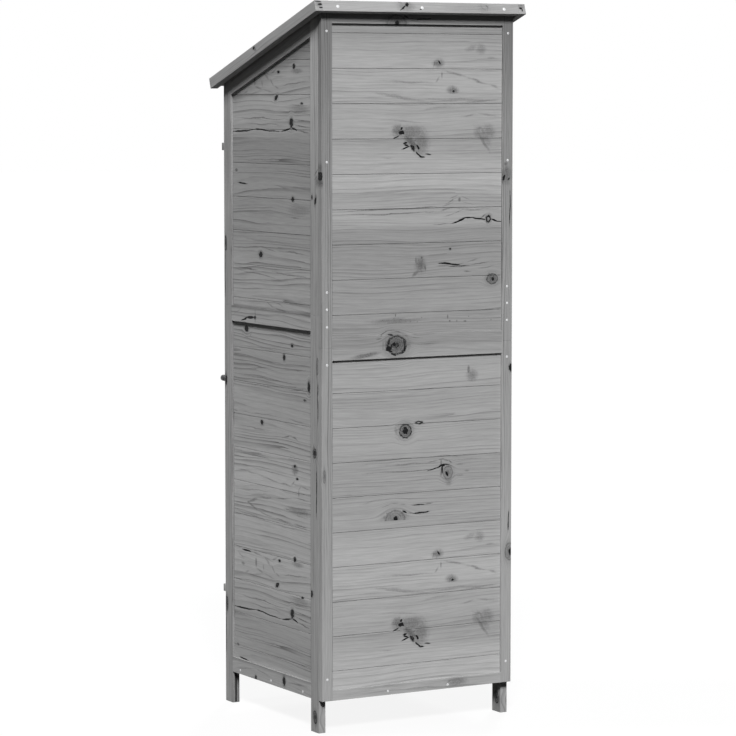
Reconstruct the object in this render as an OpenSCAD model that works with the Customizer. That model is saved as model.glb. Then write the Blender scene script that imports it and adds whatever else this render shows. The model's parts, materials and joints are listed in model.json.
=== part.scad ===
/* [Body] */
// Width over the outer faces of the two side panels
body_w = 550; // [500:1:640]
// Depth over the front and rear posts, without the back panel
body_d = 498; // [450:1:560]
// Height of the panels' lower edges above the ground
ground_gap = 82; // [50:1:110]
// Height of the joint between the lower and upper posts
post_seam_z = 1034; // [1022:1:1060]
// Height of the joint between the lower and upper back panel
back_seam_z = 955; // [945:1:970]

/* [Posts and side panels] */
// Width of a post's front face, which is the thickness of a side panel
post_t = 19.5; // [19:0.5:24]
// Depth of a post, front to back
post_d = 39; // [38:0.5:48]
// Height of the rails in the side panels
rail_h = 39; // [34:0.5:46]
// Diameter of the dowels that join the lower and upper posts
dowel_d = 8; // [6:0.5:9]
// Length of a dowel
dowel_l = 40; // [30:1:40]

/* [Boards] */
// Height that one tongue and groove board covers
board_pitch = 86; // [70:1:100]
// Thickness of the boards
board_t = 6.6; // [6:0.1:7.5]
// Open joint between two boards
board_gap = 0.4; // [0.3:0.1:0.8]
// Height of a board's tongue
tongue_h = 4; // [3:0.5:5]
// Thickness of a board's tongue
tongue_t = 2.2; // [1.8:0.1:2.6]
// Bevel along the edges of a board
board_bevel = 0.9; // [0.4:0.1:1]
// How far a board end sits in the groove of its frame
board_seat = 4.5; // [3:0.5:5]
// Depth of the grooves in the frames
groove_d = 6; // [5.5:0.5:7]
// Height of the first board joint above the lower edge of the panels
lower_joint_up = 73; // [60:1:80]
// Height of the first board joint above the post joint, on the side panels
side_joint_up = 23; // [20:1:40]
// Height of the first board joint above the back panel's joint
back_joint_up = 80; // [60:1:90]

/* [Back panel] */
// Thickness of the back panel
back_t = 18; // [17:0.5:22]
// Width of the back panel's stiles
back_stile_w = 30; // [28:0.5:40]
// Height of the bottom rail of each back panel
back_rail_h = 26; // [22:0.5:34]
// Height of the rail at the top of the lower back panel
back_seam_rail_h = 31; // [24:0.5:36]
// Height of the top rail, down from the roof at the panel's inner face
back_top_rail_h = 21; // [18:0.5:34]

/* [Roof] */
// Slope of the roof
slope = 18.3; // [14:0.1:21]
// Height of the fascia's lower edge at the front
eave_z = 1589; // [1540:1:1640]
// Overhang of the fascia's lower edge past the front posts
eave_front = 23; // [18:1:40]
// Overhang of the fascia's lower edge past the back panel
eave_back = 20; // [18:1:40]
// Overhang of the roof past each side panel
eave_side = 26; // [22:1:40]
// Height of the fascia boards
fascia_h = 27; // [24:0.5:40]
// Thickness of the front and back fascia boards
fascia_t = 16; // [12:0.5:17]
// Thickness of the side fascia boards
side_fascia_t = 20.5; // [14:0.5:25]
// Height of the front fascia's lower edge above that of the side fascias
front_raise = 7; // [0:0.5:7]
// Drop of the fascia below the deck
deck_drop = 5; // [2:0.5:7]
// Thickness of the deck boards
deck_t = 12; // [10:0.5:13]
// Number of deck boards
deck_count = 6; // [5:1:7]
// Thickness of the roofing felt
felt_t = 2; // [1:0.5:3]

/* [Door] */
// Thickness of the door
door_t = 18; // [17:0.5:19]
// Width of the door's stiles
door_stile_w = 38; // [34:0.5:50]
// Height of the door's top and bottom rails
door_rail_h = 38; // [34:0.5:50]
// Gap between the door and the posts
door_gap = 3; // [2.5:0.5:4]
// Height of the door's lower edge above that of the panels
door_low = 2; // [0:0.5:10]
// Clearance of the door's top below the side fascias' lower edge
door_top_gap = 5; // [4:0.5:12]
// Space between the closed door and the rails it closes against
door_stop_gap = 0.8; // [0.5:0.1:1]

/* [Floor and shelves] */
// Side of the square battens and floor bearers
batten = 20; // [18:0.5:24]
// Thickness of the floor and shelf boards
shelf_t = 10; // [9:0.5:15]
// Number of floor boards
floor_count = 5; // [4:1:6]
// Number of boards in a shelf
shelf_count = 4; // [3:1:5]
// Gap between the boards of a shelf
shelf_gap = 6; // [2:1:12]
// Height of the lower shelf's top
shelf_low_z = 476; // [440:1:500]
// Height of the middle shelf's top
shelf_mid_z = 838; // [820:1:850]
// Height of the upper shelf's top
shelf_top_z = 1200; // [1180:1:1240]

/* [Door hardware] */
// Height of a hinge
hinge_h = 64; // [50:1:80]
// Width of one hinge leaf, from the pin
leaf_w = 18.5; // [17:0.5:18.5]
// Thickness of a hinge leaf
leaf_t = 1.5; // [1.2:0.1:2]
// Radius of a hinge knuckle
knuckle_r = 3.2; // [2.8:0.1:3.4]
// Radius of a hinge pin
pin_r = 1.5; // [1.2:0.1:1.7]
// Distance of the outer hinges from the ends of the door
hinge_inset = 130; // [90:1:180]
// Length of a turn button
button_l = 21; // [19:0.5:21]
// Height of a turn button
button_h = 19.5; // [16:0.5:24]
// Thickness of a turn button
button_t = 13; // [10:0.5:16]
// Distance of a turn button's pivot from its end at the door
button_pivot = 5.5; // [5:0.5:7]
// Height of the upper turn button
button_high_z = 1441; // [1300:1:1470]
// Height of the lower turn button
button_low_z = 296; // [240:1:340]
// Height of the latch
latch_z = 842; // [836:1:860]
// Length of the latch tongue below its spindle
tongue_reach = 42; // [34:1:50]
// Width of the latch tongue
latch_w = 14; // [10:0.5:16]
// Thickness of the latch tongue
latch_t = 2.5; // [2:0.5:3]
// Diameter of the latch knob
knob_d = 16; // [12:0.5:18]
// Reach of the latch knob from the front of the post
knob_reach = 31; // [26:0.5:31]
// Radius of the latch spindle
spindle_r = 2.5; // [2:0.1:3]
// Depth of the latch spindle in the post
spindle_depth = 24; // [16:1:26]
// Height of the door pull above the latch
pull_up = 70; // [60:1:100]
// Reach of the door pull from the front of the door
pull_reach = 26; // [20:1:30]

/* [Fasteners] */
// Radius of a screw head
head_r = 2.9; // [2.6:0.1:3.4]
// Thickness of a screw head
head_h = 1.4; // [1:0.1:1.6]
// Radius of a screw shank
shank_r = 1.6; // [1.3:0.1:1.7]
// Length of the screws in the back panel and its bottom rail
back_screw_l = 30; // [26:1:31]
// Length of the screws in the battens, side rails and roof
long_screw_l = 34; // [30:1:36]
// Length of the hinge screws
hinge_screw_l = 16; // [12:1:17]
// Length of the turn buttons' pivot screws
pivot_screw_l = 34; // [28:1:36]
// Radius of a fascia nail's head
nail_head_r = 4; // [3:0.5:4.5]
// Length of a fascia nail
nail_l = 30; // [26:1:36]
// Height of the fascia nails above the fascia's lower edge
nail_z = 12; // [11.5:0.5:13]
// Distance of the outer fascia nails from the middle of the shed
nail_x = 238; // [180:1:245]

/* [Clearances] */
// Side clearance of a board or tenon in its groove
groove_clear = 0.2; // [0.1:0.05:0.3]
// Radial clearance of a turning pin, spindle or screw
run_clear = 0.05; // [0.02:0.01:0.1]
// Radial clearance of a fixed screw or dowel
fix_clear = 0.1; // [0.05:0.05:0.2]
// Space between a turning catch and the face it turns on
face_clear = 0.3; // [0.3:0.1:0.5]
// Space between the roof deck and the frame under it
deck_clear = 0.1; // [0.05:0.05:0.3]

/* [Hidden] */
$fn = 48;
paint = "#9a9b9a";
paint_shade = "#8b8c8b";
bare_wood = "#b9a98c";
felt_black = "#3a3b3c";
black_steel = "#232325";
zinc = "#cfd1d3";

groove_w = board_t + 2 * groove_clear;
half_w = body_w / 2;
inner_x = half_w - post_t;
post_x = half_w - post_t / 2;

roof_w = body_w + 2 * eave_side;
roof_run = eave_front + body_d + back_t + eave_back;
roof_len = roof_run / cos(slope);
lean = fascia_h * sin(slope);
eave_y = -(roof_run + lean) / 2 + lean;
front_y = eave_y + eave_front;
rear_y = front_y + body_d;
back_y = rear_y + back_t;
back_mid_y = rear_y + back_t / 2;
// Heights of the frame's top under the deck and of the sloping rails' lower edges at depth y
function deck_z(y) = eave_z + (y - eave_y) * tan(slope) + (deck_drop - deck_clear) / cos(slope);
function rail_z(y) = deck_z(y) - rail_h / cos(slope);

side_y0 = front_y + post_d;
side_y1 = rear_y - post_d;
back_top_z = deck_z(rear_y) - back_top_rail_h;
back_x = half_w - back_stile_w;

door_z0 = ground_gap + door_low;
door_z1 = eave_z - door_top_gap;
door_x = inner_x - door_gap;
door_y = front_y + door_t / 2;
door_in_x = door_x - door_stile_w;
door_mid_z = post_seam_z - rail_h;
stop_y = front_y + door_t + door_stop_gap;
stop_t = post_d - door_t - door_stop_gap;

floor_z = ground_gap + batten;
shelf_tops = [shelf_low_z, shelf_mid_z, shelf_top_z];
batten_x = inner_x - batten;
batten_y0 = stop_y;

axis_x = -(inner_x - door_gap / 2);
axis_y = front_y - knuckle_r - face_clear;
hinge_zs = [door_z0 + hinge_inset, (door_z0 + door_z1) / 2, door_z1 - hinge_inset];
knuckle_gap = 0.3;
leaf_start = knuckle_r + 0.4;
leaf_screw_x = (leaf_start + leaf_w) / 2 + 0.6;
hinge_screw_up = hinge_h * 0.31;

button_end_gap = 0.5;
pivot_x = half_w - button_end_gap - button_l + button_pivot;
pivot_r = 1.9;

back_screw_x = half_w - back_stile_w / 2;
end_screw_up = 54;
top_screw_down = 46;
below_back_seam = 41;
around_post_seam = [-27, 16, 58];
last_pair_z = post_seam_z + around_post_seam[2];
top_screw_z = deck_z(back_y) - top_screw_down;
back_screw_zs = [
    ground_gap + end_screw_up,
    back_seam_z - below_back_seam,
    post_seam_z + around_post_seam[0],
    post_seam_z + around_post_seam[1],
    last_pair_z,
    (last_pair_z + top_screw_z) / 2,
    top_screw_z
];
rail_screw_z = ground_gap + batten / 2;
back_rail_screw_x = 87;
side_rail_screws = [-168, 0, 168];
batten_screw_in = batten / 2;
roof_screw_z = deck_drop + deck_t;
roof_screw_front = (front_y + post_d / 2 - eave_y + deck_drop * sin(slope)) / cos(slope);
roof_screw_rear = roof_screw_front + (body_d - post_d) / cos(slope);
nail_r = 1.2;
nail_head_h = 1;

// Cross sections
module grooved_section(w, t, near = false, far = false) {
    difference() {
        translate([0, -t / 2]) square([w, t]);
        if (near) translate([-1, -groove_w / 2]) square([groove_d + 1, groove_w]);
        if (far) translate([w - groove_d, -groove_w / 2]) square([groove_d + 1, groove_w]);
    }
}
module board_section(h) {
    t = board_t / 2;
    k = tongue_t / 2;
    g = k + groove_clear;
    b = min(board_bevel, t - g - 0.3);
    polygon([
        [-t + b, 0], [-g, 0], [-g, tongue_h + board_gap], [g, tongue_h + board_gap], [g, 0],
        [t - b, 0], [t, b], [t, h - b], [t - b, h], [k, h], [k, h + tongue_h], [-k, h + tongue_h],
        [-k, h], [-t + b, h], [-t, h - b], [-t, b]
    ]);
}
module board_stack(low, high, joint) {
    below = ceil((joint - low) / board_pitch);
    above = ceil((high - joint) / board_pitch);
    intersection() {
        for (i = [-below : above - 1]) {
            translate([0, joint + i * board_pitch]) board_section(board_pitch - board_gap);
        }
        translate([-board_t, low]) square([2 * board_t, high - low]);
    }
}

// Bars laid along the three axes
module bar_up(x, y, z0, z1, w, t, near = false, far = false, along_y = false) {
    translate([x, y, z0]) linear_extrude(z1 - z0) rotate(along_y ? 90 : 0)
        grooved_section(w, t, near, far);
}
module bar_back(x, y0, y1, z, h, t, near = false, far = false) {
    translate([x, y1, z]) rotate([90, 0, 0]) linear_extrude(y1 - y0) rotate(90)
        grooved_section(h, t, near, far);
}
module bar_across(x0, x1, y, z, h, t, near = false, far = false) {
    translate([x0, y, z]) rotate([90, 0, 90]) linear_extrude(x1 - x0) rotate(90)
        grooved_section(h, t, near, far);
}
module boards_back(x, y0, y1, low, high, joint) {
    translate([x, y1, 0]) rotate([90, 0, 0]) linear_extrude(y1 - y0) board_stack(low, high, joint);
}
module boards_across(x0, x1, y, low, high, joint) {
    translate([x0, y, 0]) rotate([90, 0, 90]) linear_extrude(x1 - x0) board_stack(low, high, joint);
}
// A plate between two sloping lines, given as heights at its front and rear ends
module slope_plate(x, t, y0, y1, low0, low1, high0, high1) {
    translate([x, 0, 0]) rotate([90, 0, 90]) linear_extrude(t, center = true)
        polygon([[y0, low0], [y1, low1], [y1, high1], [y0, high0]]);
}
module below_deck() {
    y0 = front_y - body_d;
    y1 = rear_y + body_d;
    intersection() {
        children();
        slope_plate(0, 2 * body_w, y0, y1, 0, 0, deck_z(y0), deck_z(y1));
    }
}
module on_left(flip = true) {
    mirror([flip ? 1 : 0, 0, 0]) children();
}
module on_roof() {
    translate([0, eave_y, eave_z]) rotate([slope, 0, 0]) children();
}

// Fasteners point down from a head at the origin, and a cut is the hole for one
module screw(len, r = shank_r, head = head_r, thick = head_h) {
    translate([0, 0, -thick]) cylinder(h = thick, r = head);
    translate([0, 0, -len]) cylinder(h = len, r = r);
}
module screw_cut(len, r = shank_r, head = head_r, thick = head_h) {
    translate([0, 0, -thick]) cylinder(h = thick + 1, r = head + fix_clear);
    translate([0, 0, -len - 0.5]) cylinder(h = len + 1, r = r + fix_clear);
}
module at_back_screws() {
    for (s = [-1, 1], z = back_screw_zs) {
        translate([s * back_screw_x, back_y, z]) rotate([-90, 0, 0]) children();
    }
}
module at_back_rail_screws() {
    for (s = [-1, 1]) {
        translate([s * back_rail_screw_x, back_y, rail_screw_z]) rotate([-90, 0, 0]) children();
    }
}
module at_side_rail_screws() {
    for (s = [-1, 1], y = side_rail_screws) {
        translate([s * half_w, (front_y + rear_y) / 2 + y, rail_screw_z]) rotate([0, s * 90, 0]) children();
    }
}
module at_batten_screws() {
    for (s = [-1, 1], y = [batten_y0 + batten_screw_in, rear_y - post_d / 2], z = shelf_tops) {
        translate([s * batten_x, y, z - shelf_t - batten / 2]) rotate([0, s * -90, 0]) children();
    }
}
module at_hinge_screws(side) {
    for (z = hinge_zs, k = [-1, 1]) {
        translate([axis_x + side * leaf_screw_x, front_y - leaf_t, z + k * hinge_screw_up])
            rotate([90, 0, 0]) children();
    }
}
module at_pivots() {
    for (z = [button_low_z, button_high_z]) {
        translate([pivot_x, front_y - face_clear - button_t, z]) rotate([90, 0, 0]) children();
    }
}
module at_roof_screws() {
    for (s = [-1, 1], y = [roof_screw_front, roof_screw_rear]) {
        on_roof() translate([s * post_x, y, roof_screw_z]) children();
    }
}
module at_nails() {
    for (x = [-nail_x, 0, nail_x]) {
        on_roof() translate([x, roof_len, nail_z]) rotate([-90, 0, 0]) children();
        on_roof() translate([x, 0, nail_z]) rotate([90, 0, 0]) children();
    }
}
module at_latch() {
    translate([post_x, front_y, latch_z]) rotate([90, 0, 0]) children();
}
module at_dowels() {
    for (x = [-post_x, post_x], y = [front_y + post_d / 2, rear_y - post_d / 2]) {
        translate([x, y, post_seam_z - dowel_l / 2]) children();
    }
}

// Holes that run through several pieces
module dowel_cuts() {
    at_dowels() translate([0, 0, -0.5]) cylinder(h = dowel_l + 1, r = dowel_d / 2 + fix_clear);
}
module batten_cuts() {
    at_batten_screws() screw_cut(long_screw_l);
}
module post_hinge_cuts() {
    at_hinge_screws(-1) screw_cut(hinge_screw_l);
}
module door_hinge_cuts() {
    at_hinge_screws(1) screw_cut(hinge_screw_l);
}
module pivot_cuts() {
    at_pivots() translate([0, 0, -pivot_screw_l - 0.5]) cylinder(h = pivot_screw_l + 1, r = pivot_r + fix_clear);
}
module latch_cut() {
    at_latch() translate([0, 0, -spindle_depth - 0.5])
        cylinder(h = spindle_depth + 1, r = spindle_r + run_clear);
}
module back_cuts() {
    at_back_screws() screw_cut(back_screw_l);
}
module roof_cuts() {
    at_roof_screws() screw_cut(long_screw_l);
}

// Posts
module front_post(left, z0, z1) {
    on_left(left) bar_up(post_x, front_y, z0, z1, post_d, post_t, far = true, along_y = true);
}
module rear_post(left, z0, z1) {
    on_left(left) bar_up(post_x, side_y1, z0, z1, post_d, post_t, near = true, along_y = true);
}
module front_post_left_lower() {
    color(paint) difference() {
        front_post(true, 0, post_seam_z);
        dowel_cuts();
        batten_cuts();
        post_hinge_cuts();
    }
}
module front_post_left_upper() {
    color(paint) difference() {
        below_deck() front_post(true, post_seam_z, deck_z(side_y0));
        dowel_cuts();
        batten_cuts();
        post_hinge_cuts();
        roof_cuts();
    }
}
module front_post_right_lower() {
    color(paint) difference() {
        front_post(false, 0, post_seam_z);
        dowel_cuts();
        batten_cuts();
        pivot_cuts();
        latch_cut();
    }
}
module front_post_right_upper() {
    color(paint) difference() {
        below_deck() front_post(false, post_seam_z, deck_z(side_y0));
        dowel_cuts();
        batten_cuts();
        pivot_cuts();
        roof_cuts();
    }
}
module rear_lower(left) {
    color(paint) difference() {
        rear_post(left, 0, post_seam_z);
        dowel_cuts();
        batten_cuts();
        back_cuts();
    }
}
module rear_upper(left) {
    color(paint) difference() {
        below_deck() rear_post(left, post_seam_z, deck_z(rear_y));
        dowel_cuts();
        batten_cuts();
        back_cuts();
        roof_cuts();
    }
}
module rear_post_left_lower() {
    rear_lower(true);
}
module rear_post_left_upper() {
    rear_upper(true);
}
module rear_post_right_lower() {
    rear_lower(false);
}
module rear_post_right_upper() {
    rear_upper(false);
}
module post_dowels() {
    color(bare_wood) at_dowels() cylinder(h = dowel_l, r = dowel_d / 2);
}

// Side panels
module side_rail(left, z, near, far) {
    low = z + (near ? groove_d : 0);
    high = z + rail_h - (far ? groove_d : 0);
    on_left(left) {
        bar_back(post_x, side_y0, side_y1, z, rail_h, post_t, near, far);
        translate([post_x - board_t / 2, side_y0 - board_seat, low])
            cube([board_t, side_y1 - side_y0 + 2 * board_seat, high - low]);
    }
}
module side_bottom_rail(left) {
    color(paint) difference() {
        side_rail(left, ground_gap, false, true);
        at_side_rail_screws() screw_cut(long_screw_l);
    }
}
module side_mid_rail(left) {
    color(paint) side_rail(left, post_seam_z - rail_h, true, true);
}
module side_top_rail(left) {
    rise = groove_d / cos(slope);
    ends = [side_y0 - board_seat, side_y1 + board_seat];
    color(paint) on_left(left) {
        difference() {
            slope_plate(post_x, post_t, side_y0, side_y1,
                rail_z(side_y0), rail_z(side_y1), deck_z(side_y0), deck_z(side_y1));
            slope_plate(post_x, groove_w, side_y0 - 1, side_y1 + 1,
                rail_z(side_y0 - 1) - 1, rail_z(side_y1 + 1) - 1,
                rail_z(side_y0 - 1) + rise, rail_z(side_y1 + 1) + rise);
        }
        slope_plate(post_x, board_t, ends[0], ends[1],
            rail_z(ends[0]) + rise, rail_z(ends[1]) + rise, deck_z(ends[0]), deck_z(ends[1]));
    }
}
module side_lower_boards(left) {
    low = ground_gap + rail_h - board_seat;
    high = post_seam_z - rail_h + board_seat;
    color(paint_shade) on_left(left)
        boards_back(post_x, side_y0 - board_seat, side_y1 + board_seat, low, high,
            ground_gap + lower_joint_up);
}
module side_upper_boards(left) {
    y0 = side_y0 - board_seat;
    y1 = side_y1 + board_seat;
    low = post_seam_z - board_seat;
    seat = board_seat / cos(slope);
    color(paint_shade) on_left(left) intersection() {
        boards_back(post_x, y0, y1, low, deck_z(y1), post_seam_z + side_joint_up);
        slope_plate(post_x, post_t, y0 - 1, y1 + 1, low - 1, low - 1,
            rail_z(y0 - 1) + seat, rail_z(y1 + 1) + seat);
    }
}
module side_left_bottom_rail() {
    side_bottom_rail(true);
}
module side_left_mid_rail() {
    side_mid_rail(true);
}
module side_left_top_rail() {
    side_top_rail(true);
}
module side_left_lower_boards() {
    side_lower_boards(true);
}
module side_left_upper_boards() {
    side_upper_boards(true);
}
module side_right_bottom_rail() {
    side_bottom_rail(false);
}
module side_right_mid_rail() {
    side_mid_rail(false);
}
module side_right_top_rail() {
    side_top_rail(false);
}
module side_right_lower_boards() {
    side_lower_boards(false);
}
module side_right_upper_boards() {
    side_upper_boards(false);
}

// Back panel
module back_stile(left, z0, z1) {
    color(paint) difference() {
        below_deck() on_left(left) bar_up(back_x, back_mid_y, z0, z1, back_stile_w, back_t, near = true);
        back_cuts();
    }
}
module back_rail(z, h, near, far) {
    low = z + (near ? groove_d : 0);
    high = z + h - (far ? groove_d : 0);
    bar_across(-back_x, back_x, back_mid_y, z, h, back_t, near, far);
    translate([-back_x - board_seat, back_mid_y - board_t / 2, low])
        cube([2 * (back_x + board_seat), board_t, high - low]);
}
module back_left_lower_stile() {
    back_stile(true, ground_gap, back_seam_z);
}
module back_left_upper_stile() {
    back_stile(true, back_seam_z, deck_z(back_y));
}
module back_right_lower_stile() {
    back_stile(false, ground_gap, back_seam_z);
}
module back_right_upper_stile() {
    back_stile(false, back_seam_z, deck_z(back_y));
}
module back_bottom_rail() {
    color(paint) difference() {
        back_rail(ground_gap, back_rail_h, false, true);
        at_back_rail_screws() screw_cut(back_screw_l);
    }
}
module back_lower_top_rail() {
    color(paint) back_rail(back_seam_z - back_seam_rail_h, back_seam_rail_h, true, false);
}
module back_upper_bottom_rail() {
    color(paint) back_rail(back_seam_z, back_rail_h, false, true);
}
module back_top_rail() {
    color(paint) below_deck() back_rail(back_top_z, deck_z(back_y) - back_top_z, true, false);
}
module back_boards(low, high, joint) {
    color(paint_shade)
        boards_across(-back_x - board_seat, back_x + board_seat, back_mid_y, low, high, joint);
}
module back_lower_boards() {
    back_boards(ground_gap + back_rail_h - board_seat,
        back_seam_z - back_seam_rail_h + board_seat, ground_gap + lower_joint_up);
}
module back_upper_boards() {
    back_boards(back_seam_z + back_rail_h - board_seat, back_top_z + board_seat,
        back_seam_z + back_joint_up);
}

// Front rails, floor and shelves
module front_bottom_rail() {
    color(paint) translate([-inner_x, stop_y, ground_gap]) cube([2 * inner_x, stop_t, rail_h]);
}
module front_top_rail() {
    top = deck_z(stop_y + stop_t);
    low = deck_z(stop_y) - rail_h;
    color(paint) below_deck() translate([-inner_x, stop_y, low]) cube([2 * inner_x, stop_t, top - low]);
}
module floor_bearers() {
    color(bare_wood) difference() {
        union() {
            for (left = [false, true]) on_left(left) translate([batten_x, side_y0, ground_gap])
                cube([batten, rear_y - batten - side_y0 - board_gap, batten]);
            translate([-inner_x, rear_y - batten, ground_gap]) cube([2 * inner_x, batten, batten]);
        }
        at_side_rail_screws() screw_cut(long_screw_l);
        at_back_rail_screws() screw_cut(back_screw_l);
    }
}
// Boards side by side along the depth, each running across the shed
module cross_boards(y0, y1, z, count, gap, x1) {
    w = (y1 - y0 - (count - 1) * gap) / count;
    for (i = [0 : count - 1]) {
        translate([-x1, y0 + i * (w + gap), z]) cube([2 * x1, w, shelf_t]);
    }
}
module floor_boards() {
    color(bare_wood) cross_boards(side_y0, rear_y - board_gap, floor_z, floor_count, board_gap,
        inner_x - face_clear);
}
module shelf_battens() {
    color(bare_wood) difference() {
        for (left = [false, true], z = shelf_tops) {
            on_left(left) translate([batten_x, batten_y0, z - shelf_t - batten])
                cube([batten, rear_y - batten_y0, batten]);
        }
        batten_cuts();
    }
}
module shelf(z) {
    color(bare_wood) cross_boards(batten_y0, rear_y - board_gap, z - shelf_t, shelf_count, shelf_gap,
        inner_x - face_clear);
}
module shelf_lower() {
    shelf(shelf_low_z);
}
module shelf_middle() {
    shelf(shelf_mid_z);
}
module shelf_upper() {
    shelf(shelf_top_z);
}

// Roof
module roof_bar(x0, y0, z0, w, l, h) {
    on_roof() translate([x0, y0, z0]) cube([w, l, h]);
}
module roof_deck_boards() {
    l = roof_len - 2 * fascia_t;
    w = (l - (deck_count - 1) * board_gap) / deck_count;
    x = roof_w / 2 - side_fascia_t;
    color(bare_wood) difference() {
        for (i = [0 : deck_count - 1]) {
            roof_bar(-x, fascia_t + i * (w + board_gap), deck_drop, 2 * x, w, deck_t);
        }
        roof_cuts();
        at_nails() screw_cut(nail_l, nail_r, nail_head_r, nail_head_h);
    }
}
module roof_felt() {
    x = roof_w / 2 - side_fascia_t;
    color(felt_black)
        roof_bar(-x, fascia_t, deck_drop + deck_t, 2 * x, roof_len - 2 * fascia_t, felt_t);
}
module roof_left_fascia() {
    color(paint) roof_bar(-roof_w / 2, 0, 0, side_fascia_t, roof_len, fascia_h);
}
module roof_right_fascia() {
    color(paint) roof_bar(roof_w / 2 - side_fascia_t, 0, 0, side_fascia_t, roof_len, fascia_h);
}
module cross_fascia(y, low) {
    x = roof_w / 2 - side_fascia_t;
    color(paint) difference() {
        roof_bar(-x, y, low, 2 * x, fascia_t, fascia_h - low);
        at_nails() screw_cut(nail_l, nail_r, nail_head_r, nail_head_h);
    }
}
module roof_back_fascia() {
    cross_fascia(roof_len - fascia_t, 0);
}
module roof_front_fascia() {
    cross_fascia(0, front_raise);
}

// Door
module door_rail(z, h, near, far) {
    low = z + (near ? groove_d : 0);
    high = z + h - (far ? groove_d : 0);
    bar_across(-door_in_x, door_in_x, door_y, z, h, door_t, near, far);
    translate([-door_in_x - board_seat, door_y - board_t / 2, low])
        cube([2 * (door_in_x + board_seat), board_t, high - low]);
}
module door_left_stile() {
    color(paint) difference() {
        bar_up(-door_x, door_y, door_z0, door_z1, door_stile_w, door_t, far = true);
        door_hinge_cuts();
    }
}
module door_right_stile() {
    color(paint) difference() {
        bar_up(door_in_x, door_y, door_z0, door_z1, door_stile_w, door_t, near = true);
        at_pull() translate([0, 0, -door_t - 1])
            cylinder(h = door_t + 2, r = shank_r + fix_clear);
    }
}
module door_bottom_rail() {
    color(paint) door_rail(door_z0, door_rail_h, false, true);
}
module door_mid_rail() {
    color(paint) door_rail(door_mid_z, rail_h, true, true);
}
module door_top_rail() {
    color(paint) door_rail(door_z1 - door_rail_h, door_rail_h, true, false);
}
module door_boards(low, high, joint) {
    color(paint_shade)
        boards_across(-door_in_x - board_seat, door_in_x + board_seat, door_y, low, high, joint);
}
module door_lower_boards() {
    door_boards(door_z0 + door_rail_h - board_seat, door_mid_z + board_seat,
        ground_gap + lower_joint_up);
}
module door_upper_boards() {
    door_boards(post_seam_z - board_seat, door_z1 - door_rail_h + board_seat,
        post_seam_z + side_joint_up);
}
// A turned knob on a round foot, standing on the plane z = 0
module turned_knob(foot, reach) {
    r = knob_d / 2;
    neck = r * 0.62;
    edge = r * 0.42;
    grip = reach * 0.45;
    rotate_extrude() polygon([
        [0, 0], [foot, 0], [neck, grip - 3], [r, grip], [r, reach - edge], [r - edge, reach], [0, reach]
    ]);
}
module at_pull() {
    translate([door_x - door_stile_w / 2, front_y, latch_z + pull_up]) rotate([90, 0, 0]) children();
}
module door_pull() {
    color(black_steel) at_pull() {
        turned_knob(knob_d * 0.4, pull_reach);
        translate([0, 0, -door_t + 1]) cylinder(h = door_t, r = shank_r);
    }
}

// Hinges
module knuckle(z0, z1) {
    translate([axis_x, axis_y, z0]) difference() {
        cylinder(h = z1 - z0, r = knuckle_r);
        translate([0, 0, -1]) cylinder(h = z1 - z0 + 2, r = pin_r + run_clear);
    }
}
// The leaf's tongue bends round to the knuckle, clear of the pin's bore
module leaf(side, z0, z1, low, high) {
    x0 = side > 0 ? axis_x + leaf_start : axis_x - leaf_w;
    xt = side > 0 ? axis_x : axis_x - leaf_start - 0.5;
    translate([x0, front_y - leaf_t, z0]) cube([leaf_w - leaf_start, leaf_t, z1 - z0]);
    difference() {
        translate([xt, front_y - leaf_t, low]) cube([leaf_start + 0.5, leaf_t - face_clear, high - low]);
        translate([axis_x, axis_y, low - 1]) cylinder(h = high - low + 2, r = pin_r + run_clear);
    }
}
module hinge_post_leaves() {
    third = hinge_h / 3;
    color(black_steel) difference() {
        for (z = hinge_zs) {
            z0 = z - hinge_h / 2;
            z1 = z + hinge_h / 2;
            union() {
                knuckle(z0, z0 + third - knuckle_gap);
                leaf(-1, z0, z1, z0, z0 + third - knuckle_gap);
                knuckle(z1 - third + knuckle_gap, z1);
                leaf(-1, z0, z1, z1 - third + knuckle_gap, z1);
            }
        }
        at_hinge_screws(-1) cylinder(h = 4 * leaf_t, r = shank_r + fix_clear, center = true);
    }
}
module hinge_door_leaves() {
    third = hinge_h / 3;
    color(black_steel) difference() {
        for (z = hinge_zs) {
            z0 = z - hinge_h / 2;
            z1 = z + hinge_h / 2;
            union() {
                knuckle(z0 + third, z1 - third);
                leaf(1, z0, z1, z0 + third, z1 - third);
            }
        }
        at_hinge_screws(1) cylinder(h = 4 * leaf_t, r = shank_r + fix_clear, center = true);
    }
}
module hinge_pins() {
    color(black_steel) for (z = hinge_zs) {
        translate([axis_x, axis_y, z - hinge_h / 2]) cylinder(h = hinge_h, r = pin_r);
        translate([axis_x, axis_y, z + hinge_h / 2]) cylinder(h = 1.2, r = pin_r + 0.8);
    }
}
// A hinge screw's head stands on the leaf
module hinge_screw() {
    translate([0, 0, head_h]) screw(hinge_screw_l + head_h);
}
module hinge_door_screws() {
    color(black_steel) at_hinge_screws(1) hinge_screw();
}

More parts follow.
